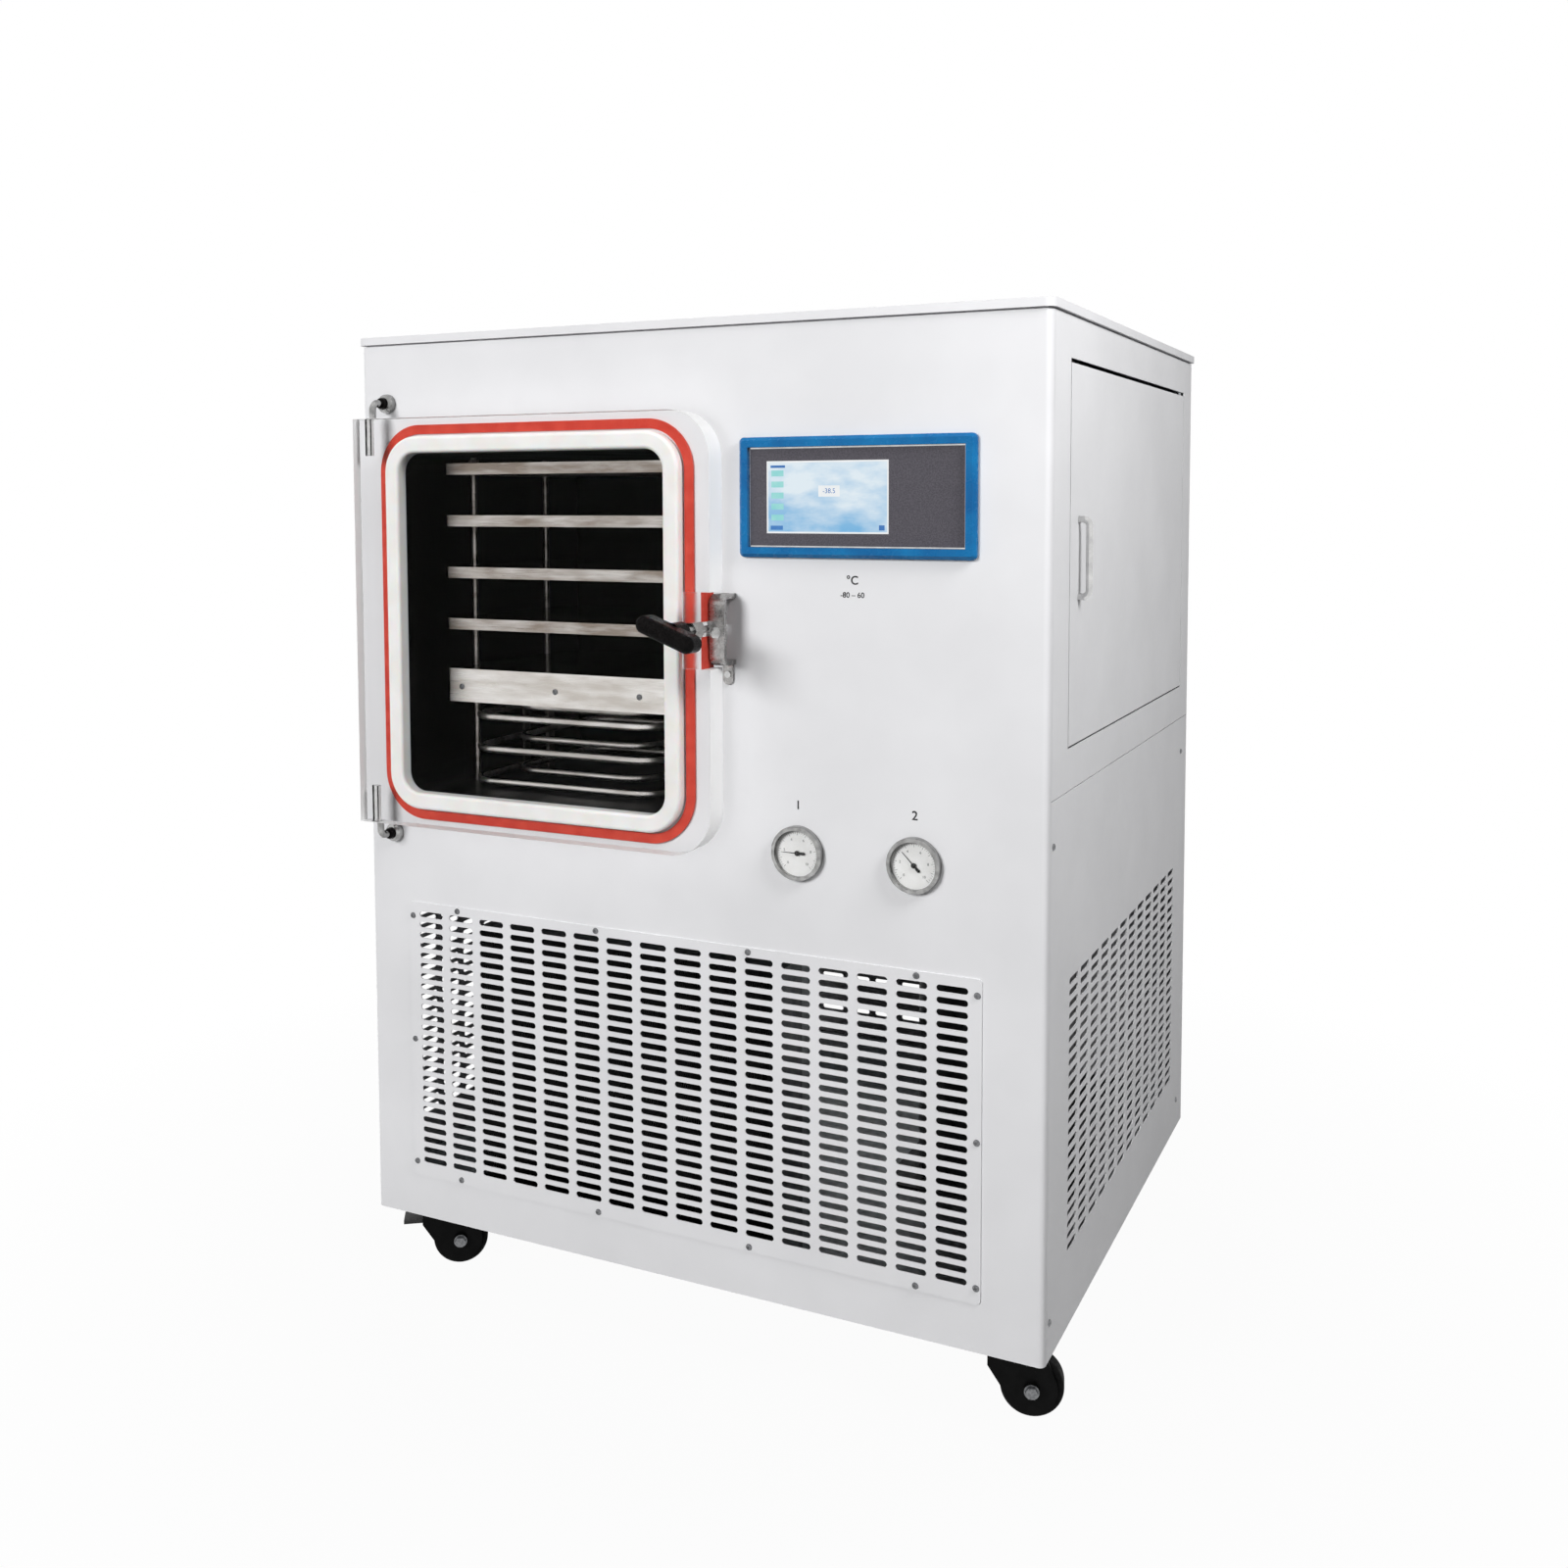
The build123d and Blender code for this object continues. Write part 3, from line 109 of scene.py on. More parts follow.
# %% Adding nodes and turning colours
def add(tree, kind, inputs=None, **settings):
    """Add a node. A socket among the inputs is linked, and any other value is set."""
    node = tree.nodes.new(kind)
    for name, value in settings.items():
        setattr(node, name, value)
    for key, value in (inputs or {}).items():
        if isinstance(value, bpy.types.NodeSocket):
            tree.links.new(value, node.inputs[key])
        else:
            node.inputs[key].default_value = value
    return node


def colour(code):
    """An sRGB hex code as linear red, green, blue and alpha."""
    parts = [int(code[start:start + 2], 16) / 255 for start in (0, 2, 4)]
    return [part / 12.92 if part <= 0.04045 else ((part + 0.055) / 1.055) ** 2.4 for part in parts] + [1]

# %% A new finish and patches of noise
def finish(name, **values):
    """A new material, its node tree and its Principled shader with constants on their own sockets."""
    material = bpy.data.materials.new(name)
    material.use_nodes = True
    shader = material.node_tree.nodes["Principled BSDF"]
    for key, value in values.items():
        shader.inputs[key.replace("_", " ")].default_value = value
    return material, material.node_tree, shader


def grain(tree, size_mm, stretch=(1, 1, 1), detail=3):
    """Noise with patches of a real size, stretched along the object's axes."""
    place = add(tree, "ShaderNodeTexCoord").outputs["Object"]
    scaled = add(tree, "ShaderNodeMapping", {"Vector": place, "Scale": [1 / s for s in stretch]})
    return add(tree, "ShaderNodeTexNoise", {
        "Vector": scaled.outputs[0], "Scale": 1000 / size_mm, "Detail": detail}).outputs["Fac"]


def spread(tree, factor, low, high):
    """Noise spread over a range of numbers."""
    return add(tree, "ShaderNodeMapRange", {
        "Value": factor, "From Min": 0.35, "From Max": 0.65, "To Min": low, "To Max": high}).outputs[0]


def tint(tree, factor, low, high):
    """Noise spread between two paint colours."""
    return add(tree, "ShaderNodeMix", {
        0: spread(tree, factor, 0, 1), 6: colour(low), 7: colour(high)}, data_type="RGBA").outputs[2]

# %% Feeding the shader
def relief(tree, shader, height, depth_mm):
    """Let a height pattern of a real depth tip the shading normal."""
    bump = add(tree, "ShaderNodeBump", {"Height": height, "Distance": mm(depth_mm)})
    tree.links.new(bump.outputs["Normal"], shader.inputs["Normal"])


def link(tree, socket, shader, name):
    """Feed one of the shader's sockets."""
    tree.links.new(socket, shader.inputs[name])

# %% Whole finishes, and putting them on
def grained(name, tone, gloss, bump=None, **values):
    """A finish whose colour and roughness drift in patches.

    Tone is (patch size in mm, dark, light), gloss is (patch size, low, high) and bump is
    (patch size, depth in mm).
    """
    material, tree, shader = finish(name, **values)
    link(tree, tint(tree, grain(tree, tone[0]), *tone[1:]), shader, "Base Color")
    link(tree, spread(tree, grain(tree, gloss[0]), *gloss[1:]), shader, "Roughness")
    if bump:
        relief(tree, shader, grain(tree, bump[0]), bump[1])
    return material


def surface(tree, shading):
    """Make a shading node the material's surface."""
    tree.links.new(shading.outputs[0], tree.nodes["Material Output"].inputs["Surface"])


def clear_to_shadows(tree, shading, code):
    """Let shadow rays through a clear material, with its own tint."""
    path = add(tree, "ShaderNodeLightPath")
    clear = add(tree, "ShaderNodeBsdfTransparent", {"Color": colour(code)})
    surface(tree, add(tree, "ShaderNodeMixShader", {
        0: path.outputs["Is Shadow Ray"], 1: shading.outputs[0], 2: clear.outputs[0]}))


def dress(material, *names):
    """Give CAD nodes a finish in all their material slots."""
    for name in names:
        for slot in nodes[name].material_slots:
            slot.material = material
    print(material.name, "on", len(names), "nodes")

# %% [markdown]
# ## Powder coat
# The cabinet is folded steel sheet with a light grey polyester powder coat. Powder melts into a
# film with a faint orange peel, a few millimetres from crest to crest, and a satin gloss. Real crests
# are some microns high; the relief here is a little coarser so that it shows. A slow drift
# of tone keeps the large panels from looking like plain plastic.

# %% Powder coat
powder, tree, shader = finish("powder_coat_light_grey", Specular_IOR_Level=0.12)
link(tree, tint(tree, grain(tree, 160), "E2E2E4", "E8E8EA"), shader, "Base Color")
link(tree, spread(tree, grain(tree, 9), 0.38, 0.5), shader, "Roughness")
relief(tree, shader, grain(tree, 2.6, detail=1), 0.03)
dress(powder, "front_panel", "lid", "rear_panel", "upper_side_panels", "lower_side_panels",
      "access_door_right", "access_door_left", "grille_plate")

# %% [markdown]
# ## Zinc sheet and brushed stainless
# The pan, the deck and the fan shroud are galvanised sheet, whose spangles are crystals
# about a centimetre wide, each with its own gloss. The shelves and the cold-trap coil are brushed
# stainless: long fine scratches that blur reflections along one way. Both are metals, so their
# colour sits in the reflection.

# %% Galvanised sheet
zinc, tree, shader = finish("galvanised_steel_sheet", Metallic=1)
place = add(tree, "ShaderNodeTexCoord").outputs["Object"]
spangle = add(tree, "ShaderNodeTexVoronoi", {"Vector": place, "Scale": 1000 / 11})
mix = add(tree, "ShaderNodeMix", {
    0: spangle.outputs["Distance"], 6: colour("9A9DA0"), 7: colour("B9BDC0")}, data_type="RGBA")
link(tree, mix.outputs[2], shader, "Base Color")
link(tree, spread(tree, grain(tree, 11), 0.34, 0.5), shader, "Roughness")
dress(zinc, "base_pan", "machine_deck", "access_hinge_pins", "fan_shroud", "electrical_box")

# %% Brushed stainless
def brushed_steel(name, low, high, stain, *parts):
    """Stainless with fine scratches along X and stains where frost has dried.

    Flat tops are smoother, and their near-black colour is painted reflection: each shelf sees only the
    unlit one above it.
    """
    material, tree, shader = finish(name, Metallic=1)
    scratches = grain(tree, 0.9, stretch=(60, 1, 1), detail=4)
    stains = spread(tree, grain(tree, 26, stretch=(2.4, 1, 0.5), detail=5), 0, 1)
    clean = tint(tree, scratches, low, high)
    mixed = add(tree, "ShaderNodeMix", {0: stains, 6: colour(stain), 7: clean}, data_type="RGBA")
    normal = add(tree, "ShaderNodeSeparateXYZ", {0: add(tree, "ShaderNodeTexCoord").outputs["Normal"]})
    nearly_up = 0.9
    flat = add(tree, "ShaderNodeMath", {0: normal.outputs["Z"], 1: nearly_up}, operation="GREATER_THAN")
    # Up-facing faces take a near-black colour: painted reflection of the dark chamber.
    with_painted_dark_tops = add(tree, "ShaderNodeMix", {
        0: flat.outputs[0], 6: mixed.outputs[2], 7: colour("241F1D")}, data_type="RGBA")
    link(tree, with_painted_dark_tops.outputs[2], shader, "Base Color")
    smooth = add(tree, "ShaderNodeMapRange", {"Value": flat.outputs[0], "To Min": 1, "To Max": 0.5})
    rough = add(tree, "ShaderNodeMath", {
        0: spread(tree, scratches, 0.26, 0.4), 1: smooth.outputs[0]}, operation="MULTIPLY")
    link(tree, rough.outputs[0], shader, "Roughness")
    relief(tree, shader, scratches, 0.02)
    dress(material, *parts)


brushed_steel("brushed_stainless_shelf", "B8B3AE", "DAD6D2", "93887E",
              *[f"shelf_{number}" for number in (1, 2, 3, 4)])
brushed_steel("brushed_stainless_plate", "E2DEDA", "F4F2EF", "CCC6BF", "shelf_base")
brushed_steel("drawn_stainless_rod", "8E8A86", "A6A29E", "6E6863",
              "shelf_rods", "coil_brackets", "vacuum_port")
brushed_steel("bent_stainless_tube", "D6D2CE", "ECEAE8", "B0ABA6", "condenser_coil")

# %% Nickel plate on the latch
satin = grained("satin_nickel_plated_steel", (8, "9A9998", "B5B3B2"), (3, 0.22, 0.36), (1.5, 0.02),
                Metallic=1)
dress(satin, "latch_keeper", "latch_dog")

# %% [markdown]
# ## Chamber wall
# The chamber is rolled and welded stainless, and nothing lights it from inside, so its
# walls read as almost black. They keep a faint sheen with broad, soft patches from polishing. A
# dark metal says this better than a light one, which would fill the chamber with bounced light.

# %% Chamber wall
chamber_wall, tree, shader = finish("polished_stainless_in_shade", Metallic=1)
patches = grain(tree, 60, stretch=(1, 3, 1))
link(tree, tint(tree, patches, "070606", "0F0D0D"), shader, "Base Color")
link(tree, spread(tree, patches, 0.3, 0.45), shader, "Roughness")
relief(tree, shader, grain(tree, 45), 0.4)
dress(chamber_wall, "chamber_shell")

# %% [markdown]
# ## Bright metal
# Hinge rods, gauge rims and bow handles are polished stainless or chrome plate. Each is nearly a
# mirror, so what the eye reads is the room; fine hairlines and finger marks only change the
# gloss from place to place. The pan-head screws are nickel plate, which is darker and duller.
# The hinge rods, their cups and the gauge rims take a darker chrome colour: painted reflection
# of a dim room, in place of the white room of the scene.

# %% Bright metal
bright = grained("polished_stainless_steel", (14, "C4C4C4", "D9D9D8"), (6, 0.13, 0.24), Metallic=1)
dress(bright, "door_bushes", "handle_spindle", "access_handle_right", "access_handle_left",
      "keeper_screws", "grille_screws", "panel_screws")

# Darker chrome for hinge rods, hinge cups and gauge rims: painted reflection of a dim room.
chrome_with_painted_dark_reflection = grained("chrome_darkened_as_painted_reflection", (10, "8C8C8B", "B4B4B3"), (5, 0.08, 0.18), Metallic=1)
dress(chrome_with_painted_dark_reflection, "hinge_rods", "gauge_cases")

screw_plate = grained("nickel_plated_screw_steel", (3, "6F7072", "8A8B8D"), (2, 0.28, 0.42), Metallic=1)

# %% [markdown]
# ## Rubber, silicone and foam
# The seal is moulded white silicone, which lets light a little way in, so its shadows are soft.
# Round it lies a band of red silicone rubber. Both have a fine matt skin from the mould. The foam
# behind the chamber is black nitrile with closed cells a millimetre or two wide.

# %% Rubber, silicone and foam
silicone = grained("moulded_white_silicone", (30, "F6F4F0", "FCFBF9"), (4, 0.42, 0.55), (1.2, 0.02),
                   Subsurface_Weight=0.25, Subsurface_Scale=0.006)
dress(silicone, "door_seal")

red_rubber = grained("moulded_red_silicone_rubber", (18, "C23A2C", "D04838"), (5, 0.42, 0.58), (1.5, 0.04))
dress(red_rubber, "seal_backing")

foam = grained("closed_cell_nitrile_foam", (2, "141414", "242424"), (3, 0.7, 0.9), (1.6, 0.3))
dress(foam, "chamber_insulation")

# %% [markdown]
# ## Acrylic door and gauge glass
# The door is a slab of cast acrylic, 32 mm thick, with an index of refraction of 1.49. The slab really
# bends light, so what lies behind it looks shifted. The milled pocket beside the latch is frosted,
# and the sawn edges are milky white. The object's own normal tells an edge from a face, and
# a box round the pocket tells its floor. Shadow rays pass through, or the chamber would be black.
# The room in front of a real machine is dim, so most of a clear face is plain refraction and only
# a small share mirrors the white room that the scene has.

# %% Milled pocket and notch of the door
door_low, door_high = (Vector(corner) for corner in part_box("door_panel"))
spindle = box_middle("handle_spindle")
notch_width, notch_half, notch_drop = mm(12), mm(46), mm(1.5)
pocket_width, pocket_depth = mm(25), mm(2)
pocket_middle = Vector((
    door_high.x - notch_width - pocket_width / 2, door_low.y + pocket_depth / 2, spindle.z - notch_drop))
print("door from", door_low, "to", door_high, "with its pocket at", pocket_middle)

# %% Acrylic door: where it is sawn or milled
acrylic_tint, acrylic_bend, edge_slope = "FEFEFE", 1.49, 0.6
acrylic, tree, shader = finish("cast_acrylic_sheet", IOR=acrylic_bend, Base_Color=colour(acrylic_tint))
source = add(tree, "ShaderNodeTexCoord")
normal = add(tree, "ShaderNodeSeparateXYZ", {0: source.outputs["Normal"]})
facing = add(tree, "ShaderNodeMath", {0: normal.outputs["Y"]}, operation="ABSOLUTE")
sawn = add(tree, "ShaderNodeMath", {0: facing.outputs[0], 1: edge_slope}, operation="LESS_THAN")
offset = add(tree, "ShaderNodeVectorMath", {
    0: source.outputs["Object"], 1: pocket_middle}, operation="SUBTRACT")
size = add(tree, "ShaderNodeVectorMath", {0: offset.outputs[0]}, operation="ABSOLUTE")
away = add(tree, "ShaderNodeSeparateXYZ", {0: size.outputs[0]})
within = [add(tree, "ShaderNodeMath", {0: away.outputs[axis], 1: half}, operation="LESS_THAN").outputs[0]
          for axis, half in (("X", pocket_width / 2), ("Y", pocket_depth), ("Z", notch_half))]
both = add(tree, "ShaderNodeMath", {0: within[0], 1: within[1]}, operation="MULTIPLY")
milled = add(tree, "ShaderNodeMath", {0: both.outputs[0], 1: within[2]}, operation="MULTIPLY")
frosted = add(tree, "ShaderNodeMath", {0: sawn.outputs[0], 1: milled.outputs[0]}, operation="MAXIMUM")

# %% Acrylic door: its clear faces and milky edges
milky_share, unmirrored_share = 0.15, 0.95
haze = add(tree, "ShaderNodeMath", {
    0: frosted.outputs[0], 1: spread(tree, grain(tree, 3), 0.3, 0.4)}, operation="MULTIPLY")
link(tree, haze.outputs[0], shader, "Roughness")
passing = add(tree, "ShaderNodeMapRange", {"Value": sawn.outputs[0], "To Min": 1, "To Max": 0})
link(tree, passing.outputs[0], shader, "Transmission Weight")
through = add(tree, "ShaderNodeBsdfTranslucent", {"Color": colour("FAFAFA")})
milky = add(tree, "ShaderNodeMath", {0: sawn.outputs[0], 1: milky_share}, operation="MULTIPLY")
edge = add(tree, "ShaderNodeMixShader", {0: milky.outputs[0], 1: shader.outputs[0], 2: through.outputs[0]})
bend = add(tree, "ShaderNodeBsdfRefraction", {
    "Color": colour(acrylic_tint), "Roughness": haze.outputs[0], "IOR": acrylic_bend})
unmirrored = add(tree, "ShaderNodeMapRange", {
    "Value": sawn.outputs[0], "To Min": unmirrored_share, "To Max": 0})
pane = add(tree, "ShaderNodeMixShader", {0: unmirrored.outputs[0], 1: edge.outputs[0], 2: bend.outputs[0]})
clear_to_shadows(tree, pane, acrylic_tint)
dress(acrylic, "door_panel")

# %% Gauge glass
glass_bend, glass_unmirrored = 1.5, 0.8
glass, tree, shader = finish("gauge_window_glass", Transmission_Weight=1, IOR=glass_bend)
smear = spread(tree, grain(tree, 9), 0.0, 0.03)
link(tree, smear, shader, "Roughness")
bend = add(tree, "ShaderNodeBsdfRefraction", {"Roughness": smear, "IOR": glass_bend})
window = add(tree, "ShaderNodeMixShader", {
    0: glass_unmirrored, 1: shader.outputs[0], 2: bend.outputs[0]})
clear_to_shadows(tree, window, "FFFFFF")
dress(glass, "gauge_glasses")

# %% [markdown]
# ## Plastics
# The T-handle is black phenolic resin, which moulds to a deep gloss. The screen sits in
# a bright blue ABS frame, and its face is a grey film with a fine sparkle of grains. The fan and
# the pedals are black nylon, a little duller.

# %% Plastics
phenolic = grained("moulded_black_phenolic", (10, "070606", "100E0E"), (4, 0.22, 0.36),
                   Specular_IOR_Level=0.06)
dress(phenolic, "t_handle")

nylon = grained("moulded_black_nylon", (6, "0E0E0F", "1A1A1B"), (3, 0.4, 0.55), (1, 0.03))
dress(nylon, "fan_rotor", "brake_pedal_front_left", "brake_pedal_rear_left")

blue_abs = grained("moulded_blue_abs", (60, "055A94", "0E73AC"), (8, 0.2, 0.3), (1, 0.01),
                   Specular_IOR_Level=0.25)
dress(blue_abs, "hmi_frame")

grey_film, tree, shader = finish("grey_printed_polyester_film", Specular_IOR_Level=0.3)
link(tree, tint(tree, grain(tree, 1.6, detail=2), "454349", "56535A"), shader, "Base Color")
link(tree, spread(tree, grain(tree, 20), 0.34, 0.48), shader, "Roughness")
relief(tree, shader, grain(tree, 1.2), 0.02)
dress(grey_film, "hmi_bezel")

# %% [markdown]
# ## Paint and castings
# Needles, gauge dials, the compressor and the casters are painted, and the condenser is bare
# aluminium. Stove enamel on the compressor is glossy; the casters' paint is scuffed and
# their tyres are matt rubber with dust in it.

# %% Paint and castings
dial_enamel = grained("white_dial_enamel", (12, "F9F9F7", "FEFEFD"), (5, 0.4, 0.5))
dress(dial_enamel, "gauge_dials")

needle_paint = grained("black_needle_lacquer", (4, "080808", "121212"), (3, 0.35, 0.5))
dress(needle_paint, "gauge_needle_left", "gauge_needle_right")

# This black also goes on the condenser fins, where it is painted shade.
enamel_and_painted_shade = grained("black_enamel_and_painted_shade", (50, "0F1011", "1B1C1D"), (12, 0.25, 0.4), (5, 0.05))
dress(enamel_and_painted_shade, "compressor")

aluminium = grained("mill_finish_aluminium", (30, "6E7072", "8C8E90"), (4, 0.35, 0.5), Metallic=1)
dress(aluminium, "condenser_block")

casters = ("front_left", "front_right", "rear_left", "rear_right")
caster_paint = grained("black_painted_pressed_steel", (14, "040404", "0C0C0C"), (5, 0.32, 0.5), (3, 0.05),
                       Specular_IOR_Level=0.07)
dress(caster_paint, "caster_plates", *[f"caster_fork_{name}" for name in casters])

tyre = grained("black_caster_rubber", (9, "060606", "101010"), (4, 0.55, 0.75), (2, 0.08),
               Specular_IOR_Level=0.07)
dress(tyre, *[f"caster_wheel_{name}" for name in casters])

# %% [markdown]
# ## Screen picture
# The panel shows a plain control page on a sky-blue ground. The picture is light, so the
# material glows: a blend from pale at the top to blue, broken by long soft clouds of noise. It is
# drawn in the object's own coordinates, so no image file is needed.

# %% Screen picture
screen_low, screen_high = (Vector(corner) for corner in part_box("hmi_screen"))
backlit = {"Roughness": 0.12, "Emission_Strength": 0.85, "Base_Color": colour("101820")}
display, tree, shader = finish("backlit_lcd_under_glass", **backlit)
place = add(tree, "ShaderNodeSeparateXYZ", {0: add(tree, "ShaderNodeTexCoord").outputs["Object"]})
rise = add(tree, "ShaderNodeMapRange", {
    "Value": place.outputs["Z"], "From Min": screen_low.z, "From Max": screen_high.z,
    "To Min": 0.05, "To Max": 0.6})
clouds = spread(tree, grain(tree, 30, stretch=(1.8, 1, 0.8), detail=6), 0, 0.7)
pale = add(tree, "ShaderNodeMath", {0: rise.outputs[0], 1: clouds}, operation="ADD", use_clamp=True)
sky = add(tree, "ShaderNodeMix", {
    0: pale.outputs[0], 6: colour("66B4E6"), 7: colour("EAF6FD")}, data_type="RGBA")
link(tree, sky.outputs[2], shader, "Emission Color")
dress(display, "hmi_screen")

# %% [markdown]
# ## Pieces made by Geometry Nodes
# Screws, dial marks and fins repeat, so a small node tree makes each set. The tree takes its sizes
# from named inputs, turns its instances into real faces and gives them a material. One function
# runs a tree once and keeps a plain mesh, because the exported model holds no live modifiers.
# Another joins drawn parts into one piece, and a third finds the separate solids in a CAD node.

# %% Making and running a tree
def new_tree(name, **inputs):
    """A Geometry Nodes tree with named inputs, its input node and its output node."""
    tree = bpy.data.node_groups.new(name, "GeometryNodeTree")
    tree.interface.new_socket("Geometry", in_out="OUTPUT", socket_type="NodeSocketGeometry")
    tree.interface.new_socket("Geometry", in_out="INPUT", socket_type="NodeSocketGeometry")
    for key, kind in inputs.items():
        tree.interface.new_socket(key, in_out="INPUT", socket_type="NodeSocket" + kind)
    return tree, add(tree, "NodeGroupInput"), add(tree, "NodeGroupOutput")


def end_tree(tree, geometry, material, end):
    """Close a tree with real geometry that has its material."""
    real = add(tree, "GeometryNodeRealizeInstances", {0: geometry})
    painted = add(tree, "GeometryNodeSetMaterial", {"Geometry": real.outputs[0], "Material": material})
    tree.links.new(painted.outputs[0], end.inputs[0])


def run_tree(tree, name, mesh, **values):
    """A plain mesh object that holds what the tree makes of a mesh."""
    piece = bpy.data.objects.new(name, mesh)
    bpy.context.collection.objects.link(piece)
    modifier = piece.modifiers.new("pattern", "NODES")
    modifier.node_group = tree
    for item in tree.interface.items_tree:
        if item.name in values:
            modifier[item.identifier] = values[item.name]
    piece.update_tag()
    made = bpy.data.meshes.new_from_object(piece.evaluated_get(bpy.context.evaluated_depsgraph_get()))
    piece.modifiers.remove(modifier)
    piece.data = made
    print(name, "has", len(made.polygons), "faces")
    return piece

# %% Joining parts into a piece
def joined(name, parts, body, material):
    """One piece of a body, from (mesh, matrix) parts of one material."""
    shape = bmesh.new()
    for mesh, place in parts:
        mesh.transform(place)
        shape.from_mesh(mesh)
    whole = bpy.data.meshes.new(name)
    shape.to_mesh(whole)
    shape.free()
    whole.materials.append(material)
    piece = bpy.data.objects.new(name, whole)
    bpy.context.collection.objects.link(piece)
    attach(piece, body)
    print(name, "has", len(whole.polygons), "faces")
    return piece

# %% Separate solids of a CAD node
def loose_parts(node):
    """Lowest and highest corner of each separate solid in a CAD node."""
    shape = bmesh.new()
    shape.from_mesh(nodes[node].data)
    bmesh.ops.remove_doubles(shape, verts=shape.verts, dist=1e-6)
    reached, boxes = set(), []
    for first in shape.verts:
        if first in reached:
            continue
        reached.add(first)
        group = [first]
        for vertex in group:
            around = [edge.other_vert(vertex) for edge in vertex.link_edges]
            fresh = [other for other in around if other not in reached]
            reached.update(fresh)
            group += fresh
        corners = [vertex.co for vertex in group]
        boxes.append([Vector(pick(corner[axis] for corner in corners) for axis in range(3))
                      for pick in (min, max)])
    shape.free()
    return boxes

# %% [markdown]
# ## Screws with a cross recess
# CAD has a plain disc for each screw. A real pan head is a low dome with a cross pressed into it.
# The dome is a spun profile, a boolean cuts the cross once, and nodes put that one head on
# every screw's place, each turned by its own angle as a fitter leaves it.

# %% Spun and square shapes
def spun(name, profile, steps):
    """A closed mesh from (radius, height) points in millimetres, spun about Z."""
    shape = bmesh.new()
    points = [shape.verts.new((mm(radius), 0, mm(height))) for radius, height in profile]
    edges = [shape.edges.new(pair) for pair in zip(points, points[1:])]
    bmesh.ops.spin(shape, geom=points + edges, axis=(0, 0, 1), cent=(0, 0, 0), angle=math.tau, steps=steps)
    bmesh.ops.remove_doubles(shape, verts=shape.verts, dist=1e-6)
    bmesh.ops.recalc_face_normals(shape, faces=shape.faces)
    mesh = bpy.data.meshes.new(name)
    shape.to_mesh(mesh)
    shape.free()
    return mesh


def block(name, low, high):
    """A box mesh between two corners in metres."""
    shape = bmesh.new()
    bmesh.ops.create_cube(shape, size=1)
    low, high = Vector(low), Vector(high)
    for vertex in shape.verts:
        vertex.co = (low + high) / 2 + Vector(a * b for a, b in zip(vertex.co, high - low))
    mesh = bpy.data.meshes.new(name)
    shape.to_mesh(mesh)
    shape.free()
    return mesh

# %% One screw head
dome = spun("screw_dome", [(0, 0), (4, 0), (4, 0.5), (3.7, 1.2), (2.9, 1.7), (1.6, 1.95), (0, 2)], 28)
head = bpy.data.objects.new("screw_head", dome)
bpy.context.collection.objects.link(head)
recess_long, recess_wide, recess_floor, above_head = mm(2.3), mm(0.45), mm(0.9), mm(3)
recesses = {"recess_a": (recess_long, recess_wide), "recess_b": (recess_wide, recess_long)}
for name, (half_x, half_y) in recesses.items():
    slot_shape = block(name, (-half_x, -half_y, recess_floor), (half_x, half_y, above_head))
    cutter = bpy.data.objects.new(name, slot_shape)
    bpy.context.collection.objects.link(cutter)
    cut = head.modifiers.new(name, "BOOLEAN")
    cut.operation, cut.object, cut.solver = "DIFFERENCE", cutter, "EXACT"
recessed = bpy.data.meshes.new_from_object(head.evaluated_get(bpy.context.evaluated_depsgraph_get()))
head.modifiers.clear()
head.data = recessed
for name in recesses:
    bpy.data.objects.remove(bpy.data.objects[name])
print("screw head has", len(recessed.polygons), "faces")

# %% Tree that sets screws on points
screw_tree, start, end = new_tree("screws", Head="Object", Seed="Int")
facing = add(screw_tree, "GeometryNodeInputNamedAttribute", {"Name": "facing"}, data_type="FLOAT_VECTOR")
pattern = add(screw_tree, "GeometryNodeObjectInfo", {
    "Object": start.outputs["Head"], "As Instance": True})
placed = add(screw_tree, "GeometryNodeInstanceOnPoints", {
    "Points": start.outputs["Geometry"], "Instance": pattern.outputs["Geometry"],
    "Rotation": facing.outputs[0]})
quarter_turn = 1.57
turn = add(screw_tree, "FunctionNodeRandomValue", {
    2: 0.0, 3: quarter_turn, "Seed": start.outputs["Seed"]})
about_axis = add(screw_tree, "ShaderNodeCombineXYZ", {"Z": turn.outputs[1]})
left_so = add(screw_tree, "GeometryNodeRotateInstances", {
    0: placed.outputs[0], "Rotation": about_axis.outputs[0]})
end_tree(screw_tree, left_so.outputs[0], screw_plate, end)


def screws(name, places, seed):
    """Screw heads on (point, direction) places, as one piece of the cabinet."""
    points = bpy.data.meshes.new(name)
    points.from_pydata([point for point, _ in places], [], [])
    turns = points.attributes.new("facing", "FLOAT_VECTOR", "POINT")
    for item, (_, direction) in zip(turns.data, places):
        item.vector = Vector(direction).to_track_quat("Z", "Y").to_euler()
    piece = run_tree(screw_tree, name, points, Head=head, Seed=seed)
    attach(piece, "cabinet")
    return piece


def head_places(node, axis):
    """Place and direction of a head in each plain screw of a node, outwards along X (0) or Y (1)."""
    places = []
    for low, high in loose_parts(node):
        outward = 1 if low[axis] > 0 else -1
        place, way = (low + high) / 2, Vector()
        place[axis] = (high if outward > 0 else low)[axis] - outward * head_height
        way[axis] = outward
        places.append((place, way))
    return places

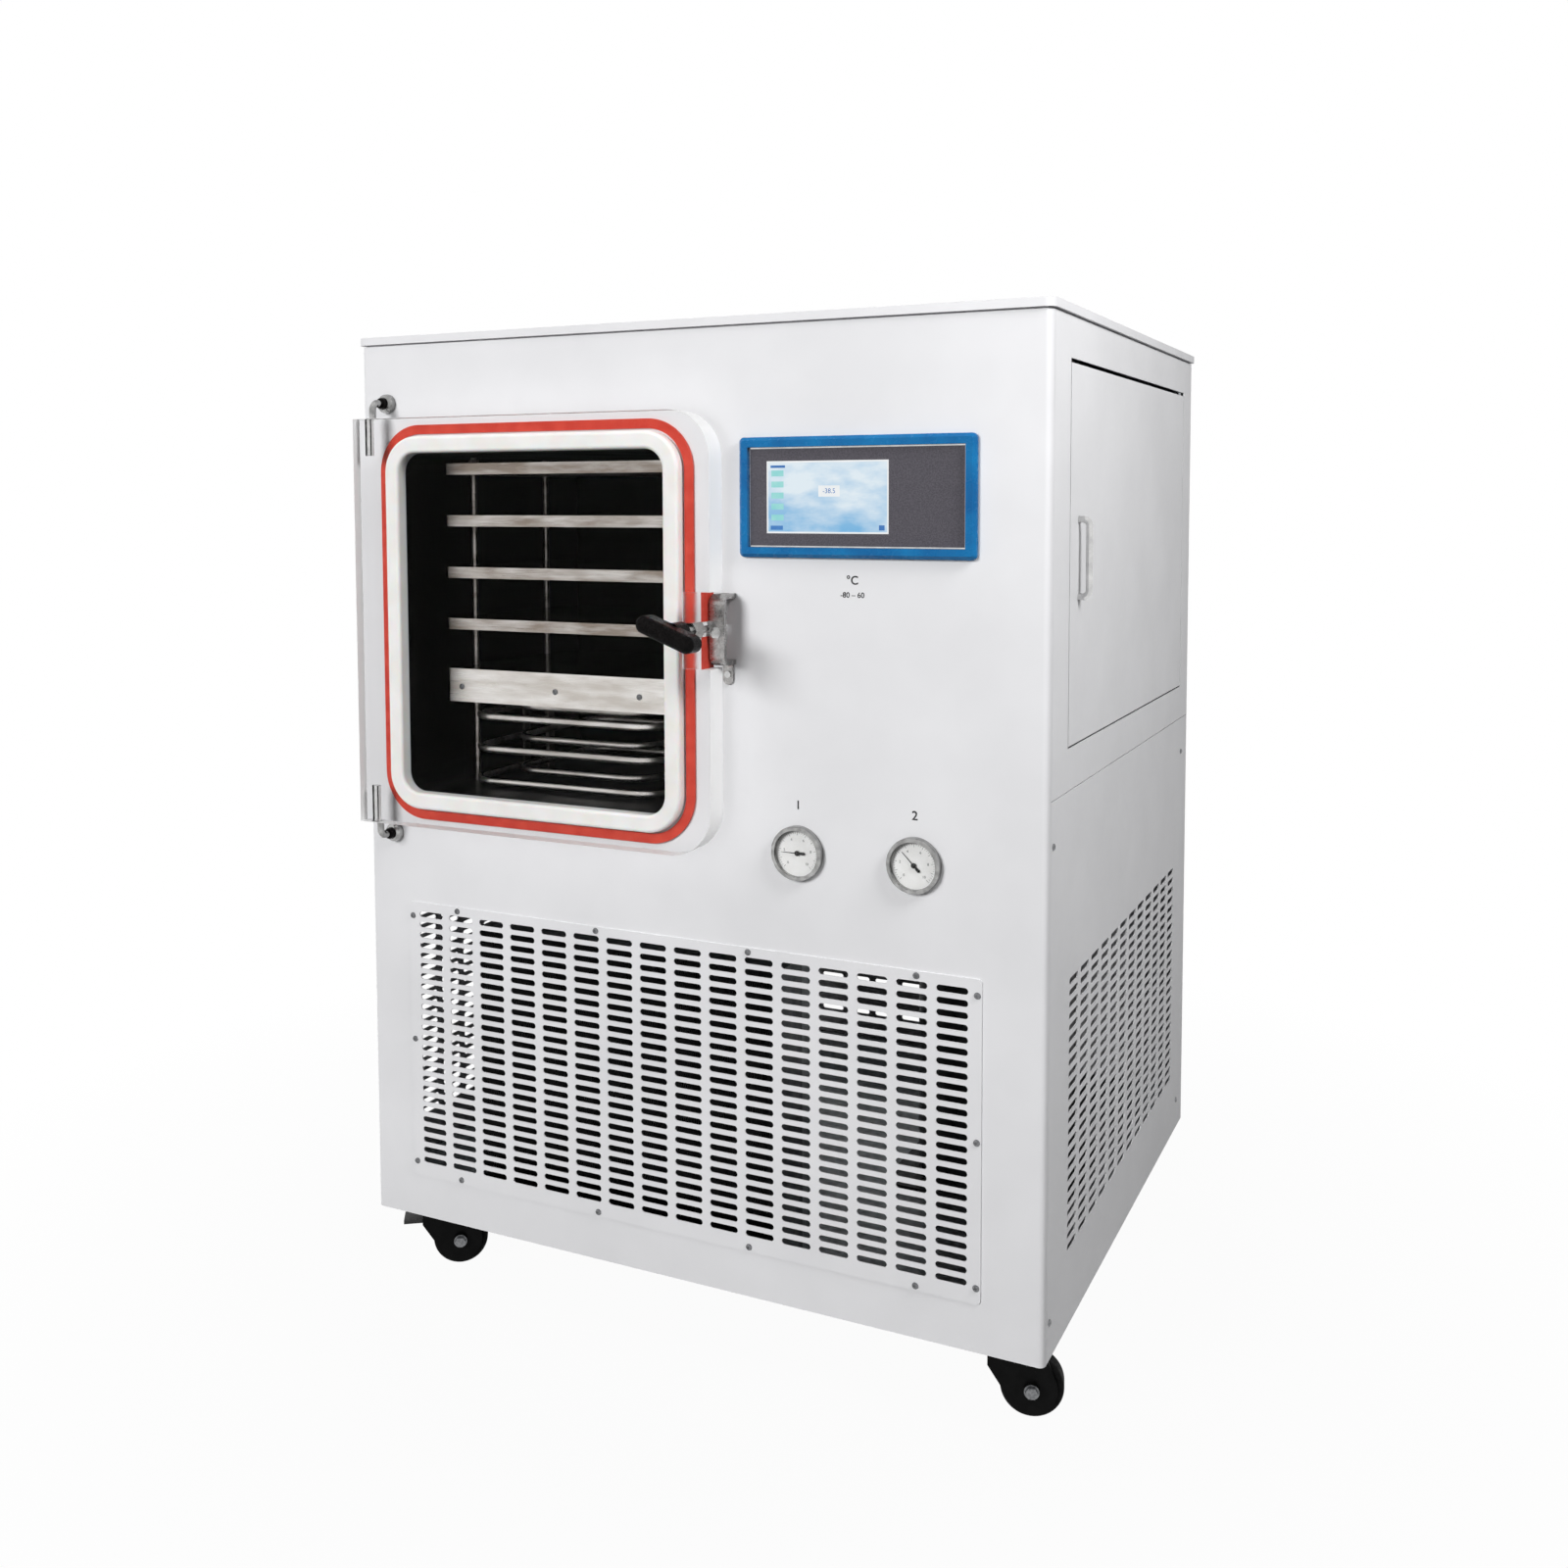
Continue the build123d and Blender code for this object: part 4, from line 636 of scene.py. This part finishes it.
# %% Screws in place of the plain ones, and on the shelf base
head_height = mm(2)
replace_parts(screws("grille_pan_screws", head_places("grille_screws", 1), 4), "grille_screws")
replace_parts(screws("side_pan_screws", head_places("panel_screws", 0), 9), "panel_screws")
base_middle, base_face = box_middle("shelf_base"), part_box("shelf_base")[0][1]
base_screws_x, base_screws_drop = (-150, 0, 128), mm(2)
base_places = [((base_middle.x + mm(x), base_face, base_middle.z - base_screws_drop), (0, -1, 0))
               for x in base_screws_x]
screws("shelf_base_screws", base_places, 2)
bpy.data.objects.remove(head)

# %% [markdown]
# ## Condenser fins
# Behind the grille stands a condenser: tubes with hundreds of thin fins, black here as painted
# shade for the unlit space behind the grille. CAD keeps it as a grooved block. Nodes stand a row
# of fins on its front face at a 3 mm pitch, a little coarser than real ones, so that the slots
# show upright lines on a dark ground.

# %% Fins
fin_tree, start, end = new_tree("fins", Count="Int", Pitch="Float", Size="Vector", Middle="Vector")
gaps = add(fin_tree, "ShaderNodeMath", {0: start.outputs["Count"], 1: 1}, operation="SUBTRACT")
row = add(fin_tree, "ShaderNodeMath", {
    0: gaps.outputs[0], 1: start.outputs["Pitch"]}, operation="MULTIPLY")
half_back = add(fin_tree, "ShaderNodeMath", {0: row.outputs[0], 1: -0.5}, operation="MULTIPLY")
to_first = add(fin_tree, "ShaderNodeCombineXYZ", {"X": half_back.outputs[0]})
first = add(fin_tree, "ShaderNodeVectorMath", {
    0: to_first.outputs[0], 1: start.outputs["Middle"]}, operation="ADD")
step = add(fin_tree, "ShaderNodeCombineXYZ", {"X": start.outputs["Pitch"]})
line = add(fin_tree, "GeometryNodeMeshLine", {
    "Count": start.outputs["Count"], "Start Location": first.outputs[0], "Offset": step.outputs[0]})
fin = add(fin_tree, "GeometryNodeMeshCube", {"Size": start.outputs["Size"]})
stood = add(fin_tree, "GeometryNodeInstanceOnPoints", {
    "Points": line.outputs[0], "Instance": fin.outputs[0]})
# Black on the fins is painted shade for the unlit space behind the grille.
end_tree(fin_tree, stood.outputs[0], enamel_and_painted_shade, end)

block_low, block_high = (Vector(corner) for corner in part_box("condenser_block"))
fin_count, fin_pitch, fin_wide, fin_depth, fin_end_gap = 152, mm(3), mm(0.5), mm(8), mm(6)
middle = (block_low + block_high) / 2
middle.y = block_low.y - fin_depth / 2
fin_size = (fin_wide, fin_depth, block_high.z - block_low.z - fin_end_gap)
fins = run_tree(fin_tree, "condenser_fins", bpy.data.meshes.new("condenser_fins"),
                Count=fin_count, Pitch=fin_pitch, Size=fin_size, Middle=middle)
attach(fins, "cabinet")

# %% [markdown]
# ## Printing ink and lettering
# The dials and the front carry thin screen-printed marks. Text starts as a font curve of its real
# height and is made a mesh before it is stood upright on its face. Bold strokes come from moving
# each edge outwards. The ink film is a few hundredths of a millimetre thick; here it stands a tenth
# proud, so that the surfaces don't fight. The marks are plain: a number over each gauge, and a unit
# and a range under the screen.

# %% Ink and letters
ink = grained("black_screen_printing_ink", (5, "111112", "1E1E20"), (2, 0.45, 0.65))


def flat_text(words, height, bold=0):
    """A mesh of words centred on the origin in XY. Bold moves each edge out by a share of the height."""
    curve = bpy.data.curves.new("words", "FONT")
    curve.body, curve.size, curve.align_x, curve.align_y = words, height, "CENTER", "CENTER"
    holder = bpy.data.objects.new("words", curve)
    bpy.context.collection.objects.link(holder)
    mesh = bpy.data.meshes.new_from_object(holder.evaluated_get(bpy.context.evaluated_depsgraph_get()))
    bpy.data.objects.remove(holder)
    shape = bmesh.new()
    shape.from_mesh(mesh)
    outward = {vert: Vector() for vert in shape.verts}
    for edge in shape.edges:
        if edge.is_boundary:
            corner = edge.link_loops[0]
            along = corner.link_loop_next.vert.co - corner.vert.co
            for vert in edge.verts:
                outward[vert] += along.cross(corner.face.normal).normalized()
    for vert, away in outward.items():
        vert.co += away.normalized() * bold * height
    shape.to_mesh(mesh)
    shape.free()
    return mesh


upright = Matrix.Rotation(math.radians(90), 4, "X")


def facing_user(mesh, x, y, z):
    """A part that was drawn flat in XY, stood up to face the user at a place."""
    return mesh, Matrix.Translation((x, y, z)) @ upright

# %% Numbers over the gauges, and a unit and a range under the screen
gauges = sorted(loose_parts("gauge_dials"), key=lambda part: part[0].x)
gauge_middles = [(low + high) / 2 for low, high in gauges]
screen_middle = box_middle("hmi_frame")
ink_lift, bold_edge = mm(0.1), 0.02
ink_face = front - ink_lift
number_size, number_rise, unit_shift = mm(15), mm(57), mm(4)
labels = [facing_user(flat_text(str(number), number_size, bold_edge),
                      middle.x, ink_face, middle.z + number_rise)
          for number, middle in enumerate(gauge_middles, 1)]
for words, height, drop in (("\u00b0C", mm(14), mm(97)), ("-80 \u2013 60", mm(9), mm(114))):
    labels.append(facing_user(flat_text(words, height, bold_edge),
                              screen_middle.x - unit_shift, ink_face, screen_middle.z - drop))
joined("front_labels", labels, "cabinet", ink)

# %% [markdown]
# ## Dial marks
# Each gauge has a scale of 41 ticks over 270 degrees, with every fourth one longer, and plain
# numbers. Ticks are boxes set by their index: the angle is the start plus index times step, and
# an index that four divides makes a long one.

# %% Ticks
tick_tree, start, end = new_tree(
    "ticks", Count="Int", Radius="Float", First="Float", Step="Float", Long="Float")
points = add(tick_tree, "GeometryNodePoints", {"Count": start.outputs["Count"]})
index = add(tick_tree, "GeometryNodeInputIndex")
angle = add(tick_tree, "ShaderNodeMath", {
    0: index.outputs[0], 1: start.outputs["Step"], 2: start.outputs["First"]}, operation="MULTIPLY_ADD")
across = add(tick_tree, "ShaderNodeMath", {0: angle.outputs[0]}, operation="COSINE")
along = add(tick_tree, "ShaderNodeMath", {0: angle.outputs[0]}, operation="SINE")
way = add(tick_tree, "ShaderNodeCombineXYZ", {"X": across.outputs[0], "Y": along.outputs[0]})
remainder = add(tick_tree, "ShaderNodeMath", {0: index.outputs[0], 1: 4}, operation="MODULO")
is_long = add(tick_tree, "ShaderNodeMath", {0: remainder.outputs[0], 1: 0.5}, operation="LESS_THAN")
share = add(tick_tree, "ShaderNodeMapRange", {"Value": is_long.outputs[0], "To Min": 0.5, "To Max": 1})
length = add(tick_tree, "ShaderNodeMath", {
    0: share.outputs[0], 1: start.outputs["Long"]}, operation="MULTIPLY")
inward = add(tick_tree, "ShaderNodeMath", {
    0: length.outputs[0], 1: -0.5, 2: start.outputs["Radius"]}, operation="MULTIPLY_ADD")
spot = add(tick_tree, "ShaderNodeVectorMath", {
    0: way.outputs[0], "Scale": inward.outputs[0]}, operation="SCALE")
points_set = add(tick_tree, "GeometryNodeSetPosition", {
    "Geometry": points.outputs[0], "Position": spot.outputs[0]})
tick = add(tick_tree, "GeometryNodeMeshCube", {"Size": (1, mm(0.35), mm(0.06))})
lean = add(tick_tree, "ShaderNodeCombineXYZ", {"Z": angle.outputs[0]})
stretch = add(tick_tree, "ShaderNodeCombineXYZ", {"X": length.outputs[0], "Y": 1, "Z": 1})
ticks = add(tick_tree, "GeometryNodeInstanceOnPoints", {
    "Points": points_set.outputs[0], "Instance": tick.outputs[0],
    "Rotation": lean.outputs[0], "Scale": stretch.outputs[0]})
end_tree(tick_tree, ticks.outputs[0], ink, end)

# %% Scales on both dials
tick_count, ticks_a_number, tick_length = 41, 4, mm(4)
scale_first, scale_step = math.radians(225), math.radians(-270 / 40)
scale_radius, number_radius, number_height = mm(25.5), mm(17.5), mm(4.4)
for side, (low, high) in zip(("left", "right"), gauges):
    middle = (low + high) / 2
    face = low.y - ink_lift
    marks = run_tree(tick_tree, f"dial_ticks_{side}", bpy.data.meshes.new("ticks"), Count=tick_count,
                     Radius=scale_radius, First=scale_first, Step=scale_step, Long=tick_length)
    marks.data.transform(Matrix.Translation((middle.x, face, middle.z)) @ upright)
    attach(marks, "cabinet")
    numbers = []
    for number in range(0, 11, 2):
        turn = scale_first + scale_step * ticks_a_number * number
        numbers.append(facing_user(flat_text(str(number), number_height),
                                   middle.x + number_radius * math.cos(turn), face,
                                   middle.z + number_radius * math.sin(turn)))
    joined(f"dial_numbers_{side}", numbers, "cabinet", ink)

# %% [markdown]
# ## Gauge needles
# A real needle is a pressed sliver that tapers to its tip, with a heavy tail that balances it and a
# round cap on its shaft. The outline is drawn once and thickened, then turned to each gauge's
# resting angle. It replaces the plain CAD needle and rides on the same turning body.

# %% One needle
def needle_mesh():
    """A flat needle in XY that points along +X, in metres, with its shaft on the origin."""
    outline = [(21, 0.2), (4, 0.55), (-3, 0.7), (-4, 1.6), (-9, 1.9), (-10.5, 0)]
    outline += [(x, -y) for x, y in reversed(outline[:-1])]
    shape = bmesh.new()
    face = shape.faces.new([shape.verts.new((mm(x), mm(y), 0)) for x, y in outline])
    raised = bmesh.ops.extrude_face_region(shape, geom=[face])["geom"]
    top = [item for item in raised if isinstance(item, bmesh.types.BMVert)]
    bmesh.ops.translate(shape, verts=top, vec=(0, 0, mm(0.5)))
    mesh = spun("needle_cap", [(0, 0), (3.2, 0), (3.2, 0.9), (2.2, 1.4), (0, 1.5)], 24)
    shape.from_mesh(mesh)
    bmesh.ops.recalc_face_normals(shape, faces=shape.faces)
    shape.to_mesh(mesh)
    shape.free()
    return mesh

# %% Needles in their places
over_node, rest_angles = mm(0.8), (180, 135)
for side, rest_angle, middle in zip(("left", "right"), rest_angles, gauge_middles):
    node = f"gauge_needle_{side}"
    mesh, place = facing_user(needle_mesh(), middle.x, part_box(node)[0][1] + over_node, middle.z)
    place = place @ Matrix.Rotation(math.radians(rest_angle), 4, "Z")
    needle = joined(f"tapered_needle_{side}", [(mesh, place)], f"needle_{side}",
                    needle_paint)
    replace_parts(needle, node)

# %% [markdown]
# ## Control page
# The page is plain: a pale edge round the picture, a column of buttons, a number box and small
# tabs in three corners. Each is a thin plate on the glass that glows as the picture does.

# %% Control page pieces
def glowing(name, low, high):
    """A lit patch of the screen with a faint unevenness of its backlight."""
    material, tree, shader = finish(name, **backlit)
    link(tree, tint(tree, grain(tree, 20), low, high), shader, "Emission Color")
    return material


def plate(x0, x1, z0, z1):
    """A thin rectangle between sides in millimetres from the picture's lower left corner."""
    low = (screen_low.x + mm(x0), screen_low.y - ink_lift, screen_low.z + mm(z0))
    high = (screen_low.x + mm(x1), screen_low.y - ink_lift / 2, screen_low.z + mm(z1))
    return block("plate", low, high), Matrix()

# %% Control page on the screen
page_white = glowing("screen_white", "F4F8F9", "FFFFFF")
page_green = glowing("screen_pale_green", "8EDCDC", "A6E6E0")
page_blue = glowing("screen_deep_blue", "2E6FB8", "3C80C8")
width, height, edge = 155, 85, 2
frame_sides = [(0, width, 0, edge), (0, width, height - edge, height),
               (0, edge, edge, height - edge), (width - edge, width, edge, height - edge)]
button_bottoms, button_height = (15, 28, 41, 54, 67), 7
page = (("screen_edge", frame_sides, page_white),
        ("screen_buttons", [(6, 22, z, z + button_height) for z in button_bottoms], page_green),
        ("screen_number_box", [(67, 94, 43, 56)], page_white),
        ("screen_tabs", [(5, 21, 4, 9), (143, 150, 4, 10), (5, 24, 77, 80)], page_blue))
for name, sides, material in page:
    joined(name, [plate(*side) for side in sides], "cabinet", material)
number_place = (screen_low.x + mm(80.5), screen_low.y - 2 * ink_lift, screen_low.z + mm(49.5))
reading = facing_user(flat_text("-38.5", mm(8)), *number_place)
joined("screen_number", [reading], "cabinet", page_blue)

# %% [markdown]
# ## Trim round the screen and the latch notch
# A line of bright metal edges the grey film inside the blue frame. On the door, a thin strip in
# the red of the seal band lies on the wall of the notch beside the latch, above and below the
# spindle. Both are thin bars, made as boxes with a small bevel.

# %% Bars
def bars(name, corners, round_edge, body, material):
    """Thin bars between pairs of corners, with bevelled edges, as one piece."""
    shape = bmesh.new()
    for low, high in corners:
        shape.from_mesh(block(name, low, high))
    bmesh.ops.bevel(shape, geom=shape.edges[:], offset=round_edge, segments=2, affect="EDGES")
    mesh = bpy.data.meshes.new(name)
    shape.to_mesh(mesh)
    shape.free()
    joined(name, [(mesh, Matrix())], body, material)

# %% Line round the grey film
film_low, film_high = (Vector(corner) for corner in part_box("hmi_bezel"))
line, proud = mm(1.6), mm(0.4)
near, far = film_low.y - proud, film_low.y + proud
x0, x1, z0, z1 = film_low.x, film_high.x, film_low.z, film_high.z
bottom_bar, top_bar = ((x0, near, z0), (x1, far, z0 + line)), ((x0, near, z1 - line), (x1, far, z1))
left_bar = ((x0, near, z0 + line), (x0 + line, far, z1 - line))
right_bar = ((x1 - line, near, z0 + line), (x1, far, z1 - line))
bars("film_edge_line", [bottom_bar, top_bar, left_bar, right_bar], mm(0.3), "cabinet", bright)

# %% Strip in the latch notch
notch_wall, strip, end_gap = door_high.x - notch_width, mm(0.8), mm(0.6)
notch_z = spindle.z - notch_drop
clear_of_spindle = mm(9)
strip_ends = ((spindle.z + clear_of_spindle, notch_z + notch_half),
              (notch_z - notch_half, spindle.z - clear_of_spindle))
strips = [((notch_wall, door_low.y + end_gap, bottom), (notch_wall + strip, door_high.y - end_gap, top))
          for bottom, top in strip_ends]
# A thin red strip on the notch wall, in the red of the seal band.
bars("notch_lining", strips, mm(0.2), "door", red_rubber)

# %% [markdown]
# ## Hinge cups and axle bolts
# Each bent hinge rod enters the front through a chrome cup with a black collar in it, and each
# caster's axle ends in a hexagon head on a washer. All are turned parts, so each is a profile spun
# about its axis; six steps of the spin give a hexagon. The axle's place and way come from its joint.

# %% Hinge cups and collars
rod_low, rod_high = (Vector(corner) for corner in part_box("hinge_rods"))
flange_radius = (rod_high.x - rod_low.x) / 2
rod_bore = 4.6
cup = [(rod_bore, 0), (13, 0), (13, 3), (12.2, 6.5), (10, 9), (8, 9.6), (7.6, 8),
       (rod_bore, 8), (rod_bore, 0)]
collar = [(rod_bore, 8), (7.4, 8), (7.4, 15), (6.4, 17), (rod_bore, 17.4), (rod_bore, 8)]
rod_middle = (rod_low.x + rod_high.x) / 2
rod_heights = (rod_high.z - flange_radius, rod_low.z + flange_radius)
cups = [facing_user(spun("cup", cup, 40), rod_middle, front, z) for z in rod_heights]
collars = [facing_user(spun("collar", collar, 32), rod_middle, front, z) for z in rod_heights]
# The cups take the darker chrome: painted reflection of a dim room.
joined("hinge_cups", cups, "cabinet", chrome_with_painted_dark_reflection)
joined("hinge_collars", collars, "cabinet", phenolic)

# %% Axle bolts
washer = [(0, 0), (9, 0), (9, 1), (0, 1)]
bolt_head = [(0, 1), (7.6, 1), (7.6, 4.6), (6.6, 5.4), (0, 5.4)]
near_axle = mm(10)
axles = {joint["child"]: (Vector(joint["pos_m"]), Vector(joint["axis"])) for joint in frame["joints"]}
for name in casters:
    middle, axis = axles[f"wheel_{name}"]
    corners = [vertex.co - middle for vertex in nodes[f"caster_fork_{name}"].data.vertices]
    reach = max(corner.dot(axis) for corner in corners if corner.cross(axis).length < near_axle)
    heads = []
    for way in (axis, -axis):
        end = Matrix.Translation(middle + reach * way) @ way.to_track_quat("Z", "Y").to_matrix().to_4x4()
        heads += [(spun("part", profile, steps), end) for profile, steps in ((washer, 24), (bolt_head, 6))]
    joined(f"axle_bolts_{name}", heads, f"swivel_{name}", screw_plate)

# %% [markdown]
# ## Floor, backdrop and light
# The cabinet stands on a plain white floor in a white room. For the camera and for reflections the
# floor and the world are white by their own colour; for everything else the world is nearly dark.
# A large soft lamp far off to the left front lights the front. A small one stands near the right
# top edge, so that the right side starts light there and fades downwards and backwards, and
# one behind the cabinet lights its rear and left side. Lamps aren't seen through the pane, which
# shadow rays already cross, or what lies behind it would be lit twice.

# %% What reads as white
def seen_white(tree):
    """1 for the camera and what it sees in metal and glass, 0 for light that falls on matt surfaces."""
    path = add(tree, "ShaderNodeLightPath")
    seen = path.outputs["Is Camera Ray"]
    for kind in ("Is Glossy Ray", "Is Transmission Ray"):
        seen = add(tree, "ShaderNodeMath", {0: seen, 1: path.outputs[kind]}, operation="MAXIMUM").outputs[0]
    unscattered = add(tree, "ShaderNodeMath", {
        0: path.outputs["Diffuse Depth"], 1: 0.5}, operation="LESS_THAN")
    return add(tree, "ShaderNodeMath", {
        0: seen, 1: unscattered.outputs[0]}, operation="MULTIPLY").outputs[0]

# %% Floor
stage_white, tree, shader = finish("painted_studio_floor", Roughness=0.9)
link(tree, tint(tree, grain(tree, 400), "8A8A8A", "929292"), shader, "Base Color")
place = add(tree, "ShaderNodeTexCoord").outputs["Object"]
far_off = add(tree, "ShaderNodeVectorMath", {0: place}, operation="LENGTH")
under_cabinet, clear_of_cabinet, near_white = 0.6, 1.5, 0.96
whiteness = add(tree, "ShaderNodeMapRange", {
    "Value": far_off.outputs["Value"], "From Min": under_cabinet, "From Max": clear_of_cabinet,
    "To Min": near_white, "To Max": 1})
share = add(tree, "ShaderNodeMath", {0: seen_white(tree), 1: whiteness.outputs[0]}, operation="MULTIPLY")
white = add(tree, "ShaderNodeEmission", {"Color": (1, 1, 1, 1), "Strength": 1})
blend = add(tree, "ShaderNodeMixShader", {0: share.outputs[0], 1: shader.outputs[0], 2: white.outputs[0]})
surface(tree, blend)

floor_half = 9
corners = [(x * floor_half, y * floor_half, 0) for x, y in ((-1, -1), (1, -1), (1, 1), (-1, 1))]
floor_mesh = bpy.data.meshes.new("floor")
floor_mesh.from_pydata(corners, [], [(0, 1, 2, 3)])
floor = bpy.data.objects.new("floor", floor_mesh)
floor_mesh.materials.append(stage_white)
bpy.context.collection.objects.link(floor)
print("floor is", 2 * floor_half, "m wide")

# %% World
world = bpy.data.worlds.new("white_room")
world.use_nodes = True
bpy.context.scene.world = world
tree = world.node_tree
room_glow = 0.07
level_of_light = add(tree, "ShaderNodeMapRange", {
    "Value": seen_white(tree), "To Min": room_glow, "To Max": 1})
background = tree.nodes["Background"]
background.inputs["Color"].default_value = (1, 1, 1, 1)
tree.links.new(level_of_light.outputs[0], background.inputs["Strength"])
print("the room lights matt surfaces at", room_glow)

# %% Lamps
def soft_lamp(name, place, target, width, watts):
    """A square area lamp that looks at a point."""
    lamp = bpy.data.objects.new(name, bpy.data.lights.new(name, "AREA"))
    lamp.data.size, lamp.data.energy = width, watts
    lamp.visible_camera = lamp.visible_glossy = lamp.visible_transmission = False
    lamp.matrix_world = (Matrix.Translation(place)
                         @ (Vector(target) - Vector(place)).to_track_quat("-Z", "Y").to_matrix().to_4x4())
    bpy.context.collection.objects.link(lamp)
    print(name, "shines at", watts, "W")


soft_lamp("key_lamp", (-2.2, -6.0, 2.95), (0, -0.35, 0.7), 2.4, 335)
soft_lamp("side_lamp", (1.6, -0.75, 2.0), (0.45, 0, 0.9), 0.7, 26)
soft_lamp("rear_lamp", (-2.9, 3.9, 2.6), (-0.3, 0.4, 0.8), 2.4, 200)
bpy.context.scene.view_settings.view_transform = "Standard"
